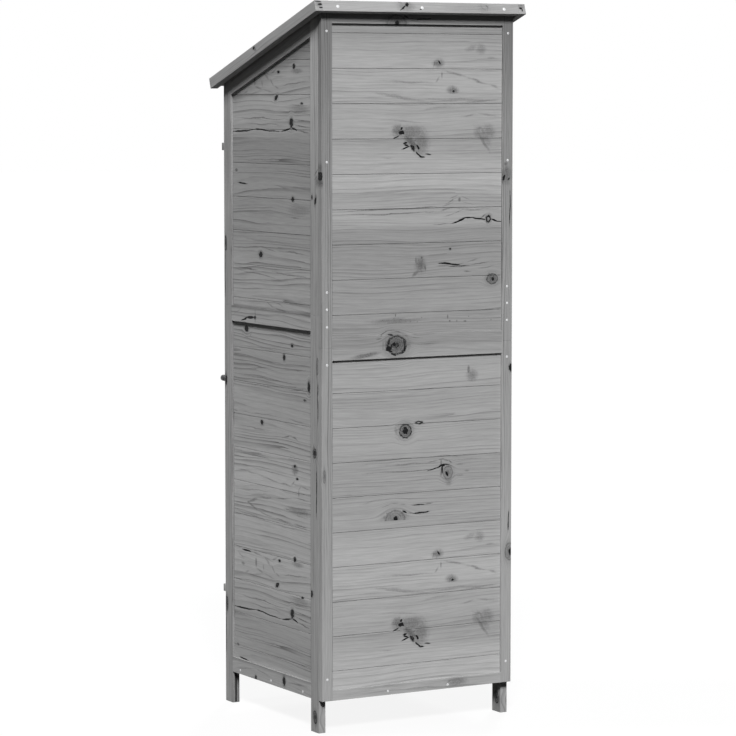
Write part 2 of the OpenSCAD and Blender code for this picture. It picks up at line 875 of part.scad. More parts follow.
// Catches on the right front post
module turn_button(z) {
    y0 = front_y - face_clear - button_t;
    color(paint) difference() {
        translate([pivot_x - button_pivot, y0, z - button_h / 2]) cube([button_l, button_t, button_h]);
        at_pivots() {
            translate([0, 0, -button_t - 1]) cylinder(h = button_t + 2, r = pivot_r + run_clear);
            translate([0, 0, -head_h]) cylinder(h = head_h + 1, r = head_r + run_clear);
        }
    }
}
module turn_button_upper() {
    turn_button(button_high_z);
}
module turn_button_lower() {
    turn_button(button_low_z);
}
module latch_tongue() {
    z0 = face_clear;
    above = latch_w / 2;
    color(black_steel) at_latch() difference() {
        translate([0, 0, z0]) linear_extrude(latch_t) {
            circle(r = above);
            translate([-above, above - tongue_reach]) square([latch_w, tongue_reach - above]);
            translate([0, above - tongue_reach]) circle(r = above);
        }
        translate([0, 0, z0 - 1]) cylinder(h = latch_t + 2, r = spindle_r + fix_clear);
    }
}
module latch_knob() {
    z0 = face_clear + latch_t;
    color(black_steel) at_latch() {
        translate([0, 0, z0]) turned_knob(knob_d * 0.4, knob_reach - z0);
        translate([0, 0, -spindle_depth]) cylinder(h = spindle_depth + z0 + 1, r = spindle_r);
    }
}
module frame_screws() {
    color(zinc) {
        at_back_screws() screw(back_screw_l);
        at_back_rail_screws() screw(back_screw_l);
        at_side_rail_screws() screw(long_screw_l);
        at_batten_screws() screw(long_screw_l);
        at_roof_screws() screw(long_screw_l);
        at_hinge_screws(-1) hinge_screw();
        at_pivots() screw(pivot_screw_l, pivot_r);
        at_nails() screw(nail_l, nail_r, nail_head_r, nail_head_h);
    }
}

front_post_left_lower();
front_post_left_upper();
front_post_right_lower();
front_post_right_upper();
rear_post_left_lower();
rear_post_left_upper();
rear_post_right_lower();
rear_post_right_upper();
post_dowels();
side_left_bottom_rail();
side_left_mid_rail();
side_left_top_rail();
side_left_lower_boards();
side_left_upper_boards();
side_right_bottom_rail();
side_right_mid_rail();
side_right_top_rail();
side_right_lower_boards();
side_right_upper_boards();
back_left_lower_stile();
back_left_upper_stile();
back_right_lower_stile();
back_right_upper_stile();
back_bottom_rail();
back_lower_top_rail();
back_upper_bottom_rail();
back_top_rail();
back_lower_boards();
back_upper_boards();
front_bottom_rail();
front_top_rail();
floor_bearers();
floor_boards();
shelf_battens();
shelf_lower();
shelf_middle();
shelf_upper();
roof_deck_boards();
roof_felt();
roof_left_fascia();
roof_right_fascia();
roof_back_fascia();
roof_front_fascia();
door_left_stile();
door_right_stile();
door_bottom_rail();
door_mid_rail();
door_top_rail();
door_lower_boards();
door_upper_boards();
door_pull();
hinge_post_leaves();
hinge_door_leaves();
hinge_pins();
hinge_door_screws();
turn_button_upper();
turn_button_lower();
latch_tongue();
latch_knob();
frame_screws();
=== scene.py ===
"""Looks of a narrow lean-to garden shed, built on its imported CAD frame.

Every wooden member, catch, hinge and screw that can show is modelled again on its CAD node, with rounded arrises,
grooves, tongues and recesses, and gets the finish of the real one: fir in a grey glaze, mineral felt, black steel,
zinc. The dowels keep the CAD's shape.
"""

import contextlib
import json
import math

import bmesh
import bpy
import numpy as np
from bpy.props import FloatProperty, FloatVectorProperty, IntProperty, PointerProperty
from mathutils import Matrix, Vector


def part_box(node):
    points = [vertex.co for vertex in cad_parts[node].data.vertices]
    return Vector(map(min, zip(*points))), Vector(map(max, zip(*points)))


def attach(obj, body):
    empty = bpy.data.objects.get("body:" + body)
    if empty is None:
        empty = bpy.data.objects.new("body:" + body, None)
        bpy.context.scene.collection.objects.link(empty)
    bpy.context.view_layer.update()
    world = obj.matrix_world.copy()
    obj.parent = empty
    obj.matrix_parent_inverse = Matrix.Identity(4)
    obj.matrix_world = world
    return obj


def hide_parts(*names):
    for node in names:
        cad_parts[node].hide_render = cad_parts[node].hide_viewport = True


bl_info = {
    "name": "Garden Shed Looks",
    "version": (1, 0, 0),
    "blender": (4, 5, 0),
    "location": "View3D > Sidebar > Shed",
    "description": "Models and finishes a narrow garden shed on its CAD frame",
    "category": "Object",
}

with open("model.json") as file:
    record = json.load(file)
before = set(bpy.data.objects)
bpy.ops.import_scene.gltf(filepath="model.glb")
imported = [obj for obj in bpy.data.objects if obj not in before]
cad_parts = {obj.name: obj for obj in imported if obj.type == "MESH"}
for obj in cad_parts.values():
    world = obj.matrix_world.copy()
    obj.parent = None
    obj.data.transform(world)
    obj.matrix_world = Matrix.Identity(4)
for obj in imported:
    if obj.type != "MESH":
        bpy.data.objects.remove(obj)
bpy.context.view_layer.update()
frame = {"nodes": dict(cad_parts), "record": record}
BODY_OF = {node: body for body, nodes in frame["record"]["behaviour"]["bodies"].items() for node in nodes}

X, Y, Z = Vector((1, 0, 0)), Vector((0, 1, 0)), Vector((0, 0, 1))
# Turns a piece that stands on z = 0 so that it looks out of the front
FORWARD = Matrix.Rotation(math.radians(90), 4, "X")


def linear(code):
    """An sRGB hex value as linear RGBA."""
    parts = [int(code[i : i + 2], 16) / 255 for i in (1, 3, 5)]
    return tuple(c / 12.92 if c <= 0.04045 else ((c + 0.055) / 1.055) ** 2.4 for c in parts) + (1.0,)


class ShedSizes(bpy.types.PropertyGroup):
    """Sizes of the joinery, as in the CAD part."""

    arris: FloatProperty(name="Arris", description="Rounding of the planed edges", default=0.0007, unit="LENGTH")
    board_pitch: FloatProperty(name="Board", description="Height that one board covers", default=0.086, unit="LENGTH")
    board_gap: FloatProperty(name="Board Gap", description="Open joint of two boards", default=0.001, unit="LENGTH")
    board_bevel: FloatProperty(name="V Joint", description="Bevel along a board", default=0.0005, unit="LENGTH")
    board_t: FloatProperty(name="Board Thickness", description="Thickness of a board", default=0.0066, unit="LENGTH")
    tongue_h: FloatProperty(name="Tongue Height", description="Height of a tongue", default=0.004, unit="LENGTH")
    tongue_t: FloatProperty(name="Tongue", description="Thickness of a board's tongue", default=0.0022, unit="LENGTH")
    groove_d: FloatProperty(name="Groove", description="Depth of the frame's grooves", default=0.006, unit="LENGTH")
    groove_w: FloatProperty(name="Groove Width", description="Width of the grooves", default=0.007, unit="LENGTH")
    seat: FloatProperty(name="Seat", description="Depth of a rail's end in its groove", default=0.0045, unit="LENGTH")
    lower_joint: FloatProperty(name="Lower Joint", description="First joint, below", default=0.155, unit="LENGTH")
    side_joint: FloatProperty(name="Side Joint", description="First joint, upper side", default=1.057, unit="LENGTH")
    back_joint: FloatProperty(name="Back Joint", description="First joint, upper back", default=1.035, unit="LENGTH")
    slope: FloatProperty(name="Slope", description="Slope of the roof", default=math.radians(18.3), subtype="ANGLE")
    fascia_h: FloatProperty(name="Fascia", description="Height of the fascia", default=0.027, unit="LENGTH")
    deck_count: IntProperty(name="Deck Boards", description="Number of deck boards", default=6, min=1)
    shelf_count: IntProperty(name="Shelf Boards", description="Boards in a shelf", default=4, min=1)
    floor_count: IntProperty(name="Floor Boards", description="Boards in the floor", default=5, min=1)
    shelf_gap: FloatProperty(name="Shelf Gap", description="Gap of two shelf boards", default=0.006, unit="LENGTH")


class ShedFinish(bpy.types.PropertyGroup):
    """Colours of the finishes and the scale of the grain."""

    glaze: FloatVectorProperty(
        name="Glaze", description="Grey glaze on planed fir", size=4, subtype="COLOR", default=linear("#a2a2a2")
    )
    glaze_upright: FloatVectorProperty(
        name="Upright Glaze", description="Glaze on the posts and stiles", size=4, subtype="COLOR",
        default=linear("#9e9e9e"),
    )
    glaze_fascia: FloatVectorProperty(
        name="Fascia Glaze", description="Glaze on the fascia", size=4, subtype="COLOR", default=linear("#a3a3a3")
    )
    bare: FloatVectorProperty(
        name="Bare Fir", description="Fir without a glaze", size=4, subtype="COLOR", default=linear("#b8aa94")
    )
    knot: FloatVectorProperty(
        name="Knot", description="Heart of a knot under the glaze", size=4, subtype="COLOR", default=linear("#121213")
    )
    felt: FloatVectorProperty(
        name="Felt", description="Mineral grit of the roofing felt", size=4, subtype="COLOR", default=linear("#4b4c4e")
    )
    steel: FloatVectorProperty(
        name="Steel", description="Black powder coat", size=4, subtype="COLOR", default=linear("#1d1d1f")
    )
    zinc: FloatVectorProperty(
        name="Zinc", description="Bright zinc plate", size=4, subtype="COLOR", default=linear("#e2e3e4")
    )


class ShedStage(bpy.types.PropertyGroup):
    """Camera, lamps and floor."""

    camera_place: FloatVectorProperty(
        name="Camera", description="Place of the camera", size=3, subtype="TRANSLATION",
        default=(3.9409, 6.8603, 1.5577),
    )
    azimuth: FloatProperty(
        name="Azimuth", description="Turn of the view round the shed", default=math.radians(150.08), subtype="ANGLE"
    )
    elevation: FloatProperty(
        name="Elevation", description="Height of the view over the horizon", default=math.radians(4.92), subtype="ANGLE"
    )
    lens: FloatProperty(name="Lens", description="Focal length in millimetres on a 36 mm frame", default=151.79)
    back_lamp: FloatProperty(name="Back Lamp", description="Strength of the lamp behind the shed", default=4.29)
    side_lamp: FloatProperty(name="Side Lamp", description="Strength of the lamp at the right", default=0.7)
    front_lamp: FloatProperty(name="Front Lamp", description="Strength of the lamp in front, at the left", default=2.7)
    room: FloatProperty(name="Room", description="Strength of the room's light", default=0.05)


# Modelling


def only(obj):
    """Selects one object and makes it active."""
    bpy.ops.object.select_all(action="DESELECT")
    obj.select_set(True)
    bpy.context.view_layer.objects.active = obj


@contextlib.contextmanager
def editing(obj, kind="FACE"):
    """Edit mode on one object, with all of it selected."""
    only(obj)
    bpy.ops.object.mode_set(mode="EDIT")
    bpy.ops.mesh.select_mode(type=kind)
    bpy.ops.mesh.select_all(action="SELECT")
    yield
    bpy.ops.object.mode_set(mode="OBJECT")


def pick_faces(obj, test):
    """In edit mode, selects the faces for which test(middle, normal) holds."""
    mesh = bmesh.from_edit_mesh(obj.data)
    bpy.ops.mesh.select_all(action="DESELECT")
    for face in mesh.faces:
        if test(face.calc_center_median(), face.normal):
            face.select_set(True)
    bmesh.update_edit_mesh(obj.data)


def pick_edges(obj, test):
    """In edit mode, selects the edges for which test(one end, other end) holds."""
    mesh = bmesh.from_edit_mesh(obj.data)
    bpy.ops.mesh.select_all(action="DESELECT")
    for edge in mesh.edges:
        if test(edge.verts[0].co, edge.verts[1].co):
            edge.select_set(True)
    bmesh.update_edit_mesh(obj.data)


def block(low, high):
    """A bar from one corner to the other, with its place in its mesh."""
    bpy.ops.object.select_all(action="DESELECT")
    low, high = Vector(low), Vector(high)
    bpy.ops.mesh.primitive_cube_add(size=1)
    bar = bpy.context.object
    bar.scale = high - low
    bar.location = (low + high) / 2
    bpy.ops.object.transform_apply(location=True, rotation=True, scale=True)
    return bar


def cut(obj, point, normal):
    """Saws off what lies beyond a plane and closes the end."""
    with editing(obj):
        bpy.ops.mesh.bisect(plane_co=point, plane_no=normal, use_fill=True, clear_outer=True)


def strip(obj, across, width, towards, height):
    """Raises a tongue along the middle of a face, or sinks a groove where the height is negative."""
    low, high = corners(obj)
    middle = (low[across] + high[across]) / 2
    side = Vector([1.0 if i == across else 0.0 for i in range(3)])
    with editing(obj):
        for way in (-1, 1):
            bpy.ops.mesh.select_all(action="SELECT")
            bpy.ops.mesh.bisect(plane_co=side * (middle + way * width / 2), plane_no=side)
        pick_faces(obj, lambda c, n: n.dot(towards) > 0.99 and abs(c[across] - middle) < width / 2)
        bpy.ops.mesh.extrude_region_move(TRANSFORM_OT_translate={"value": towards * height})


def corners(obj):
    """Lowest and highest corner of a mesh."""
    points = np.array([v.co for v in obj.data.vertices])
    return Vector(points.min(0)), Vector(points.max(0))


def modify(obj, kind, **settings):
    """Adds a modifier and applies it."""
    only(obj)
    modifier = obj.modifiers.new(kind.title(), kind)
    for key, value in settings.items():
        setattr(modifier, key, value)
    bpy.ops.object.modifier_apply(modifier=modifier.name)


def carve(obj, tool):
    """Takes the shape of a tool out of a piece."""
    modify(obj, "BOOLEAN", operation="DIFFERENCE", object=tool, solver="EXACT")
    bpy.data.objects.remove(tool)


def row(obj, count, step):
    """Repeats a piece in an even row."""
    modify(
        obj, "ARRAY", count=count, use_relative_offset=False, use_constant_offset=True, constant_offset_displace=step
    )


def shade(obj):
    """Shades turned faces smooth and leaves the flats, and the bevels beside them, flat."""
    only(obj)
    bpy.ops.object.shade_smooth_by_angle(angle=math.radians(20))


def round_edges(obj, width, segments=2):
    """Rounds the arrises."""
    modify(obj, "BEVEL", width=width, segments=segments, limit_method="ANGLE", angle_limit=math.radians(40))
    shade(obj)


def join(objs):
    """Several objects as one."""
    bpy.ops.object.select_all(action="DESELECT")
    for obj in objs:
        obj.select_set(True)
    bpy.context.view_layer.objects.active = objs[0]
    if len(objs) > 1:
        bpy.ops.object.join()
    return objs[0]


def copy_to(obj, matrix):
    """A copy with its own mesh, moved in its mesh."""
    twin = obj.copy()
    twin.data = obj.data.copy()
    twin.data.transform(matrix)
    bpy.context.scene.collection.objects.link(twin)
    return twin


def finish(obj, node, material):
    """Names a finished piece after its CAD node, gives it its finish and lets it stand for the node."""
    obj.name = node + "_dressed"
    obj.data.name = obj.name
    obj.data.materials.clear()
    obj.data.materials.append(bpy.data.materials[material])
    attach(obj, BODY_OF[node])
    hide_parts(node)
    return obj


def roof_up(sizes):
    """The direction square to the roof."""
    return Vector((0, -math.sin(sizes.slope), math.cos(sizes.slope)))


def roof_corner(sizes):
    """The zero of the roof's own frame, at its front low corner."""
    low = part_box("roof_right_fascia")[0]
    return Vector((0, low.y + sizes.fascia_h * math.sin(sizes.slope), low.z))


def upright(node, sizes, groove, sloped=False):
    """A post or stile with a groove for the boards in one edge, and a top that follows the roof."""
    low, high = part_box(node)
    bar = block(low, high)
    if sloped:
        cut(bar, (0, high.y, high.z), roof_up(sizes))
    across = 1 if abs(groove.x) > 0.5 else 0
    strip(bar, across, sizes.groove_w, groove, -sizes.groove_d)
    round_edges(bar, sizes.arris)
    return bar


def rail(node, sizes, along, grooves, slope_top=False, slope_low=False):
    """A rail with a tongue at each end, and a groove for the boards above or below."""
    low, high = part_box(node)
    start, end = low.copy(), high.copy()
    start[along] += sizes.seat
    end[along] -= sizes.seat
    bar = block(start, end)
    up = roof_up(sizes)
    if slope_top:
        cut(bar, (0, high.y, high.z), up)
    if slope_low:
        cut(bar, (0, start.y, low.z), -up)
    across = 1 - along
    for towards in grooves:
        strip(bar, across, sizes.groove_w, towards, -sizes.groove_d)
    ahead = X if along == 0 else Y
    for towards in (-ahead, ahead):
        strip(bar, across, sizes.board_t, towards, sizes.seat)
    round_edges(bar, sizes.arris)
    return bar


def boards(node, sizes, along, joint, sloped=False):
    """Tongue and groove boards: one is shaped from a block, repeated up the panel and sawn off at its ends."""
    low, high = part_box(node)
    thin, near = 1 - along, 1e-5
    first = joint - math.ceil((joint - low.z) / sizes.board_pitch) * sizes.board_pitch
    count = math.ceil((high.z - first) / sizes.board_pitch)
    top = first + sizes.board_pitch - sizes.board_gap
    board = block((low.x, low.y, first), (high.x, high.y, top))
    strip(board, thin, sizes.tongue_t + sizes.board_gap, -Z, -sizes.tongue_h - sizes.board_gap)
    strip(board, thin, sizes.tongue_t, Z, sizes.tongue_h)
    with editing(board, "EDGE"):
        pick_edges(
            board,
            lambda a, b: abs(a[along] - b[along]) > 0.1
            and min(a[thin] - low[thin], high[thin] - a[thin]) < near
            and min(abs(a.z - first), abs(a.z - top)) < near,
        )
        bpy.ops.mesh.bevel(offset=sizes.board_bevel, segments=2, affect="EDGES")
    row(board, count, (0, 0, sizes.board_pitch))
    cut(board, (0, 0, low.z), -Z)
    if sloped:
        cut(board, (0, high.y, high.z), roof_up(sizes))
    else:
        cut(board, (0, 0, high.z), Z)
    shade(board)
    return board


def turned(steps, sides=32, at=(0, 0)):
    """An upright turned piece: its foot is a disc, and each step (height, radius) is extruded from the last."""
    bpy.ops.object.select_all(action="DESELECT")
    bpy.ops.mesh.primitive_circle_add(vertices=sides, radius=steps[0][1], fill_type="NGON")
    piece = bpy.context.object
    with editing(piece):
        bpy.ops.mesh.normals_make_consistent(inside=False)
        for (z0, r0), (z1, r1) in zip(steps, steps[1:]):
            bpy.ops.mesh.extrude_region_move(TRANSFORM_OT_translate={"value": (0, 0, z1 - z0)})
            bpy.ops.transform.resize(value=(r1 / r0, r1 / r0, 1), center_override=(0, 0, z1))
        bpy.ops.mesh.select_all(action="SELECT")
        bpy.ops.mesh.normals_make_consistent(inside=False)
    piece.data.transform(Matrix.Translation((*at, steps[0][0])))
    return piece


def fasteners(node):
    """Where each screw or nail of a CAD node sits: the middle of its head's top, the way the head faces, and sizes."""
    mesh = bmesh.new()
    mesh.from_mesh(frame["nodes"][node].data)
    bmesh.ops.remove_doubles(mesh, verts=mesh.verts, dist=1e-6)
    left, found = set(mesh.verts), []
    while left:
        edge, island = [next(iter(left))], set()
        while edge:
            vert = edge.pop()
            if vert not in island:
                island.add(vert)
                edge += [e.other_vert(vert) for e in vert.link_edges]
        left -= island
        points = np.array([v.co for v in island])
        middle = points.mean(0)
        axis = np.linalg.svd(points - middle, full_matrices=False)[2][0]
        along = (points - middle) @ axis
        out = np.linalg.norm(points - middle - np.outer(along, axis), axis=1)
        near = 1e-5
        if out[along > along.max() - near].max() < out[along < along.min() + near].max():
            axis, along = -axis, -along
        head = out[along > along.max() - near].max()
        found.append((Vector(middle + along.max() * axis), Vector(axis), float(np.ptp(along)), float(head)))
    mesh.free()
    return sorted(found, key=lambda f: tuple(round(c, 4) for c in f[0]))


# Finishes


def add(tree, kind, inputs, output=0, **settings):
    """Adds a node with its settings, links or sets its inputs, and gives one of its outputs."""
    node = tree.nodes.new(kind)
    for key, value in settings.items():
        setattr(node, key, value)
    for key, value in inputs.items():
        if isinstance(value, bpy.types.NodeSocket):
            tree.links.new(value, node.inputs[key])
        else:
            node.inputs[key].default_value = value
    return node.outputs[output]


def new_material(name):
    """An empty material and its shader, linked to the output."""
    material = bpy.data.materials.new(name)
    material.use_nodes = True
    tree = material.node_tree
    tree.nodes.clear()
    shader = add(tree, "ShaderNodeBsdfPrincipled", {}).node
    tree.links.new(shader.outputs[0], tree.nodes.new("ShaderNodeOutputMaterial").inputs["Surface"])
    return tree, shader


def socket_group(name, sockets, result):
    """An empty node group with its inputs and outputs."""
    tree = bpy.data.node_groups.new(name, "ShaderNodeTree")
    for key, kind in sockets:
        tree.interface.new_socket(key, in_out="INPUT", socket_type="NodeSocket" + kind)
    for key, kind in result:
        tree.interface.new_socket(key, in_out="OUTPUT", socket_type="NodeSocket" + kind)
    return tree, tree.nodes.new("NodeGroupInput").outputs, tree.nodes.new("NodeGroupOutput").inputs


def spot_distance(tree, given, spot):
    """How far a spot lies from the middle of an ellipse, where 1 is its ragged rim, and its offset."""
    off = add(tree, "ShaderNodeVectorMath", {0: spot, 1: given["Middle"]}, operation="SUBTRACT")
    straight = add(tree, "ShaderNodeVectorRotate", {"Vector": off, "Angle": given["Turn"]}, rotation_type="Z_AXIS")
    scaled = add(tree, "ShaderNodeVectorMath", {0: straight, 1: given["Half"]}, operation="DIVIDE")
    far = add(tree, "ShaderNodeVectorMath", {0: scaled}, "Value", operation="LENGTH")
    return far, add(tree, "ShaderNodeMath", {0: far, 1: given["Ragged"]}, operation="ADD"), off


def knot_group():
    """Node group of one knot: the grain parts round it, and its heart is dark all over, or in rings, or at its rim.

    Place holds the spot along and across the face, and the shift of the grain so far.
    """
    tree, given, out = socket_group(
        "Knot",
        (
            ("Place", "Vector"), ("Ragged", "Float"), ("Middle", "Vector"), ("Half", "Vector"), ("Turn", "Float"),
            ("Depth", "Float"), ("Kind", "Vector"), ("Dark", "Float"),
        ),
        (("Place", "Vector"), ("Dark", "Float")),
    )
    far, rim, off = spot_distance(tree, given, given["Place"])
    near = add(
        tree, "ShaderNodeMapRange", {"Value": far, "From Min": 0.6, "From Max": 2.8, "To Min": 0.8, "To Max": 0},
        interpolation_type="SMOOTHERSTEP",
    )
    rise = add(tree, "ShaderNodeVectorMath", {0: off, 1: (0, 1, 0)}, "Value", operation="DOT_PRODUCT")
    push = add(tree, "ShaderNodeMath", {0: near, 1: rise}, operation="MULTIPLY")
    push = add(tree, "ShaderNodeCombineXYZ", {2: push})
    place = add(tree, "ShaderNodeVectorMath", {0: given["Place"], 1: push}, operation="SUBTRACT")
    rim = add(tree, "ShaderNodeMath", {0: rim, 1: 2.0}, operation="DIVIDE")
    rings = add(tree, "ShaderNodeValToRGB", {"Fac": rim}).node
    # Red is a solid knot, green one with year rings, blue one with a pale heart
    set_ramp(
        rings,
        [
            (where, (*shades, 1.0))
            for where, *shades in (
                (0.00, 1.00, 1.00, 0.20), (0.12, 1.00, 1.00, 0.25), (0.17, 1.00, 0.62, 0.40), (0.22, 1.00, 0.85, 0.70),
                (0.27, 1.00, 0.52, 1.00), (0.32, 1.00, 0.80, 1.00), (0.37, 1.00, 0.48, 1.00), (0.42, 0.95, 0.66, 1.00),
                (0.46, 0.75, 0.95, 0.80), (0.50, 0.45, 1.00, 0.45), (0.54, 0.28, 0.45, 0.28), (0.60, 0.15, 0.16, 0.15),
                (0.68, 0.20, 0.22, 0.16), (0.78, 0.06, 0.08, 0.05), (1.00, 0.00, 0.00, 0.00),
            )
        ],
    )
    dark = add(tree, "ShaderNodeVectorMath", {0: rings.outputs[0], 1: given["Kind"]}, "Value", operation="DOT_PRODUCT")
    dark = add(tree, "ShaderNodeMath", {0: dark, 1: given["Depth"]}, operation="MULTIPLY")
    dark = add(tree, "ShaderNodeMath", {0: dark, 1: given["Dark"]}, operation="MAXIMUM")
    tree.links.new(place, out["Place"])
    tree.links.new(dark, out["Dark"])
    return tree


def crack_group():
    """Node group of one crack, pitch streak or stain. Spot holds the spot on the face and the darkness so far."""
    tree, given, out = socket_group(
        "Crack",
        (
            ("Spot", "Vector"), ("Ragged", "Float"), ("Middle", "Vector"), ("Half", "Vector"), ("Turn", "Float"),
            ("Depth", "Float"), ("Soft", "Float"),
        ),
        (("Spot", "Vector"),),
    )
    rim = spot_distance(tree, given, given["Spot"])[1]
    dark = add(
        tree, "ShaderNodeMapRange",
        {"Value": rim, "From Min": given["Soft"], "From Max": 1.35, "To Min": given["Depth"], "To Max": 0},
        interpolation_type="SMOOTHSTEP",
    )
    dark = add(tree, "ShaderNodeCombineXYZ", {0: -9.0, 1: -9.0, 2: dark})
    dark = add(tree, "ShaderNodeVectorMath", {0: given["Spot"], 1: dark}, operation="MAXIMUM")
    tree.links.new(dark, out["Spot"])
    return tree


def set_ramp(node, stops):
    """Gives a colour ramp its stops, (place, colour) in rising order."""
    ramp = node.color_ramp
    ramp.elements.remove(ramp.elements[1])
    ramp.elements[0].position = stops[0][0]
    ramp.elements[0].color = stops[0][1]
    for place, colour in stops[1:]:
        ramp.elements.new(place).color = colour


def fir(
    name, along, across, colour, knots=(), eyes=(), cracks=(), tones=(), tile=None, seed=0.0, ring=9.0, lines=1.0,
    sway=0.016, sloped=False,
):
    """Planed fir: dark growth lines that sway along the piece and part round the knots, under a thin matt glaze.

    Knots are (along, across, half length, half width, turn in degrees, depth of colour) in millimetres, and so are
    eyes, which have a pale heart, and cracks, of which the faint broad ones are stains with a soft rim. Tones are the
    (height, shade) of a panel. A tile is the span of heights after which the pattern starts again. Ring is the distance
    of two growth lines, lines is how strong they are, and sway is how far they wander.
    """
    sizes, finishes = bpy.context.scene.shed_sizes, bpy.context.scene.shed_finish
    tree, shader = new_material(name)
    place = add(tree, "ShaderNodeTexCoord", {}, "Object")
    height = add(tree, "ShaderNodeSeparateXYZ", {0: place}, "Z")
    if sloped:
        place = add(
            tree, "ShaderNodeVectorRotate", {"Vector": place, "Center": roof_corner(sizes), "Angle": -sizes.slope},
            rotation_type="X_AXIS",
        )
    split = add(tree, "ShaderNodeSeparateXYZ", {0: place}).node
    depth = split.outputs[3 - along - across]
    along, across = split.outputs[along], split.outputs[across]
    if tile:
        across = add(tree, "ShaderNodeMath", {0: across, 1: tile[1] / 1000, 2: tile[0] / 1000}, operation="WRAP")

    # Slow sway of the whole pattern over a third of a metre
    slow = add(tree, "ShaderNodeCombineXYZ", {0: along, 1: across, 2: depth})
    slow = add(tree, "ShaderNodeVectorMath", {0: slow, 1: (2.6, 7, 7), 2: (seed, seed, seed)}, operation="MULTIPLY_ADD")
    slow = add(tree, "ShaderNodeTexNoise", {"Vector": slow, "Scale": 1, "Detail": 1, "Roughness": 0.4})
    slow = add(tree, "ShaderNodeMapRange", {"Value": slow, "To Min": -2 * sway, "To Max": 2 * sway})

    # Knots and cracks lie on the face, with ragged rims, and a crack wanders a little
    face = add(tree, "ShaderNodeCombineXYZ", {0: along, 1: across})
    ragged = add(tree, "ShaderNodeTexNoise", {"Vector": face, "Scale": 150, "Detail": 2, "Roughness": 0.65})
    ragged = add(tree, "ShaderNodeMapRange", {"Value": ragged, "To Min": -0.6, "To Max": 0.6})
    spot = add(tree, "ShaderNodeVectorMath", {0: face, 1: (14, 60, 1)}, operation="MULTIPLY")
    spot = add(tree, "ShaderNodeTexNoise", {"Vector": spot, "Scale": 1, "Detail": 2})
    spot = add(tree, "ShaderNodeMapRange", {"Value": spot, "To Min": -0.006, "To Max": 0.006})
    spot = add(tree, "ShaderNodeCombineXYZ", {1: spot})
    spot = add(tree, "ShaderNodeVectorMath", {0: spot, 1: face}, operation="ADD")
    dark = 0.0
    group = bpy.data.node_groups.get("Knot") or knot_group()
    # A knot over 14 mm long shows its year rings, inside a more even rim
    marks = [(*knot, (0, 1, 0) if max(knot[2:4]) > 14 else (1, 0, 0)) for knot in knots]
    even = add(tree, "ShaderNodeMath", {0: ragged, 1: 0.35}, operation="MULTIPLY")
    for u, v, half_u, half_v, turn, deep, kind in marks + [(*eye, (0, 0, 1)) for eye in eyes]:
        face, dark = add(
            tree, "ShaderNodeGroup",
            {
                "Place": face, "Ragged": even if kind[1] else ragged, "Middle": (u / 1000, v / 1000, 0),
                "Turn": math.radians(-turn), "Half": (half_u / 1000, half_v / 1000, 1e6), "Depth": deep,
                "Kind": kind, "Dark": dark,
            },
            node_tree=group,
        ).node.outputs
    shift = add(tree, "ShaderNodeSeparateXYZ", {0: face}, "Z")
    if cracks:
        ragged = add(tree, "ShaderNodeMath", {0: ragged, 1: 0.6}, operation="MULTIPLY")
        dark = add(tree, "ShaderNodeCombineXYZ", {2: dark})
        spot = add(tree, "ShaderNodeVectorMath", {0: spot, 1: dark}, operation="ADD")
        group = bpy.data.node_groups.get("Crack") or crack_group()
        # A crack is drawn 0.8 mm wider than it is, so that it shows
        for u, v, half_u, half_v, turn, deep in cracks:
            stain = half_v >= 4 and deep < 0.5
            spot = add(
                tree, "ShaderNodeGroup",
                {
                    "Spot": spot, "Ragged": ragged, "Middle": (u / 1000, v / 1000, 0), "Turn": math.radians(-turn),
                    "Half": (half_u / 1000, (half_v + 0.4) / 1000, 1e6), "Depth": deep * (1.3 if deep > 0.6 else 1.0),
                    "Soft": 0.3 if stain else 0.6 if deep > 0.6 else 0.0,
                },
                node_tree=group,
            )
        dark = add(tree, "ShaderNodeSeparateXYZ", {0: spot}, "Z")
    speckle = add(tree, "ShaderNodeTexNoise", {"Vector": place, "Scale": 280, "Detail": 2, "Roughness": 0.7})
    speckle = add(
        tree, "ShaderNodeMapRange", {"Value": speckle, "From Min": 0.3, "From Max": 0.7, "To Min": 0.8, "To Max": 1.45}
    )
    dark = add(tree, "ShaderNodeMath", {0: dark, 1: speckle}, operation="MULTIPLY", use_clamp=True)

    # Growth layers run through the solid at a slant, so that both faces of a bar show lines
    layer = add(tree, "ShaderNodeMath", {0: depth, 1: 0.6, 2: across}, operation="MULTIPLY_ADD")
    layer = add(tree, "ShaderNodeMath", {0: layer, 1: slow}, operation="ADD")
    layer = add(tree, "ShaderNodeMath", {0: layer, 1: shift}, operation="ADD")
    grain = add(tree, "ShaderNodeCombineXYZ", {0: along, 1: layer, 2: seed})
    uneven = add(tree, "ShaderNodeVectorMath", {0: grain, 1: (0.7, 24, 1)}, operation="MULTIPLY")
    uneven = add(tree, "ShaderNodeTexNoise", {"Vector": uneven, "Scale": 1, "Detail": 4, "Roughness": 0.5})
    phase = add(tree, "ShaderNodeMath", {0: layer, 1: 1000 / ring}, operation="MULTIPLY")
    phase = add(tree, "ShaderNodeMath", {0: uneven, 1: 6.0, 2: phase}, operation="MULTIPLY_ADD")
    late = add(tree, "ShaderNodeMath", {0: phase}, operation="FRACT")
    late = add(tree, "ShaderNodeMath", {0: late, 1: 3.0}, operation="POWER")
    patch = add(tree, "ShaderNodeVectorMath", {0: grain, 1: (1.9, 46, 3)}, operation="MULTIPLY")
    patch = add(tree, "ShaderNodeTexNoise", {"Vector": patch, "Scale": 1, "Detail": 2})
    patch = add(
        tree, "ShaderNodeMapRange", {"Value": patch, "From Min": 0.38, "From Max": 0.66, "To Min": 0.25, "To Max": 1.1},
        interpolation_type="SMOOTHSTEP",
    )
    late = add(tree, "ShaderNodeMath", {0: late, 1: patch}, operation="MULTIPLY")

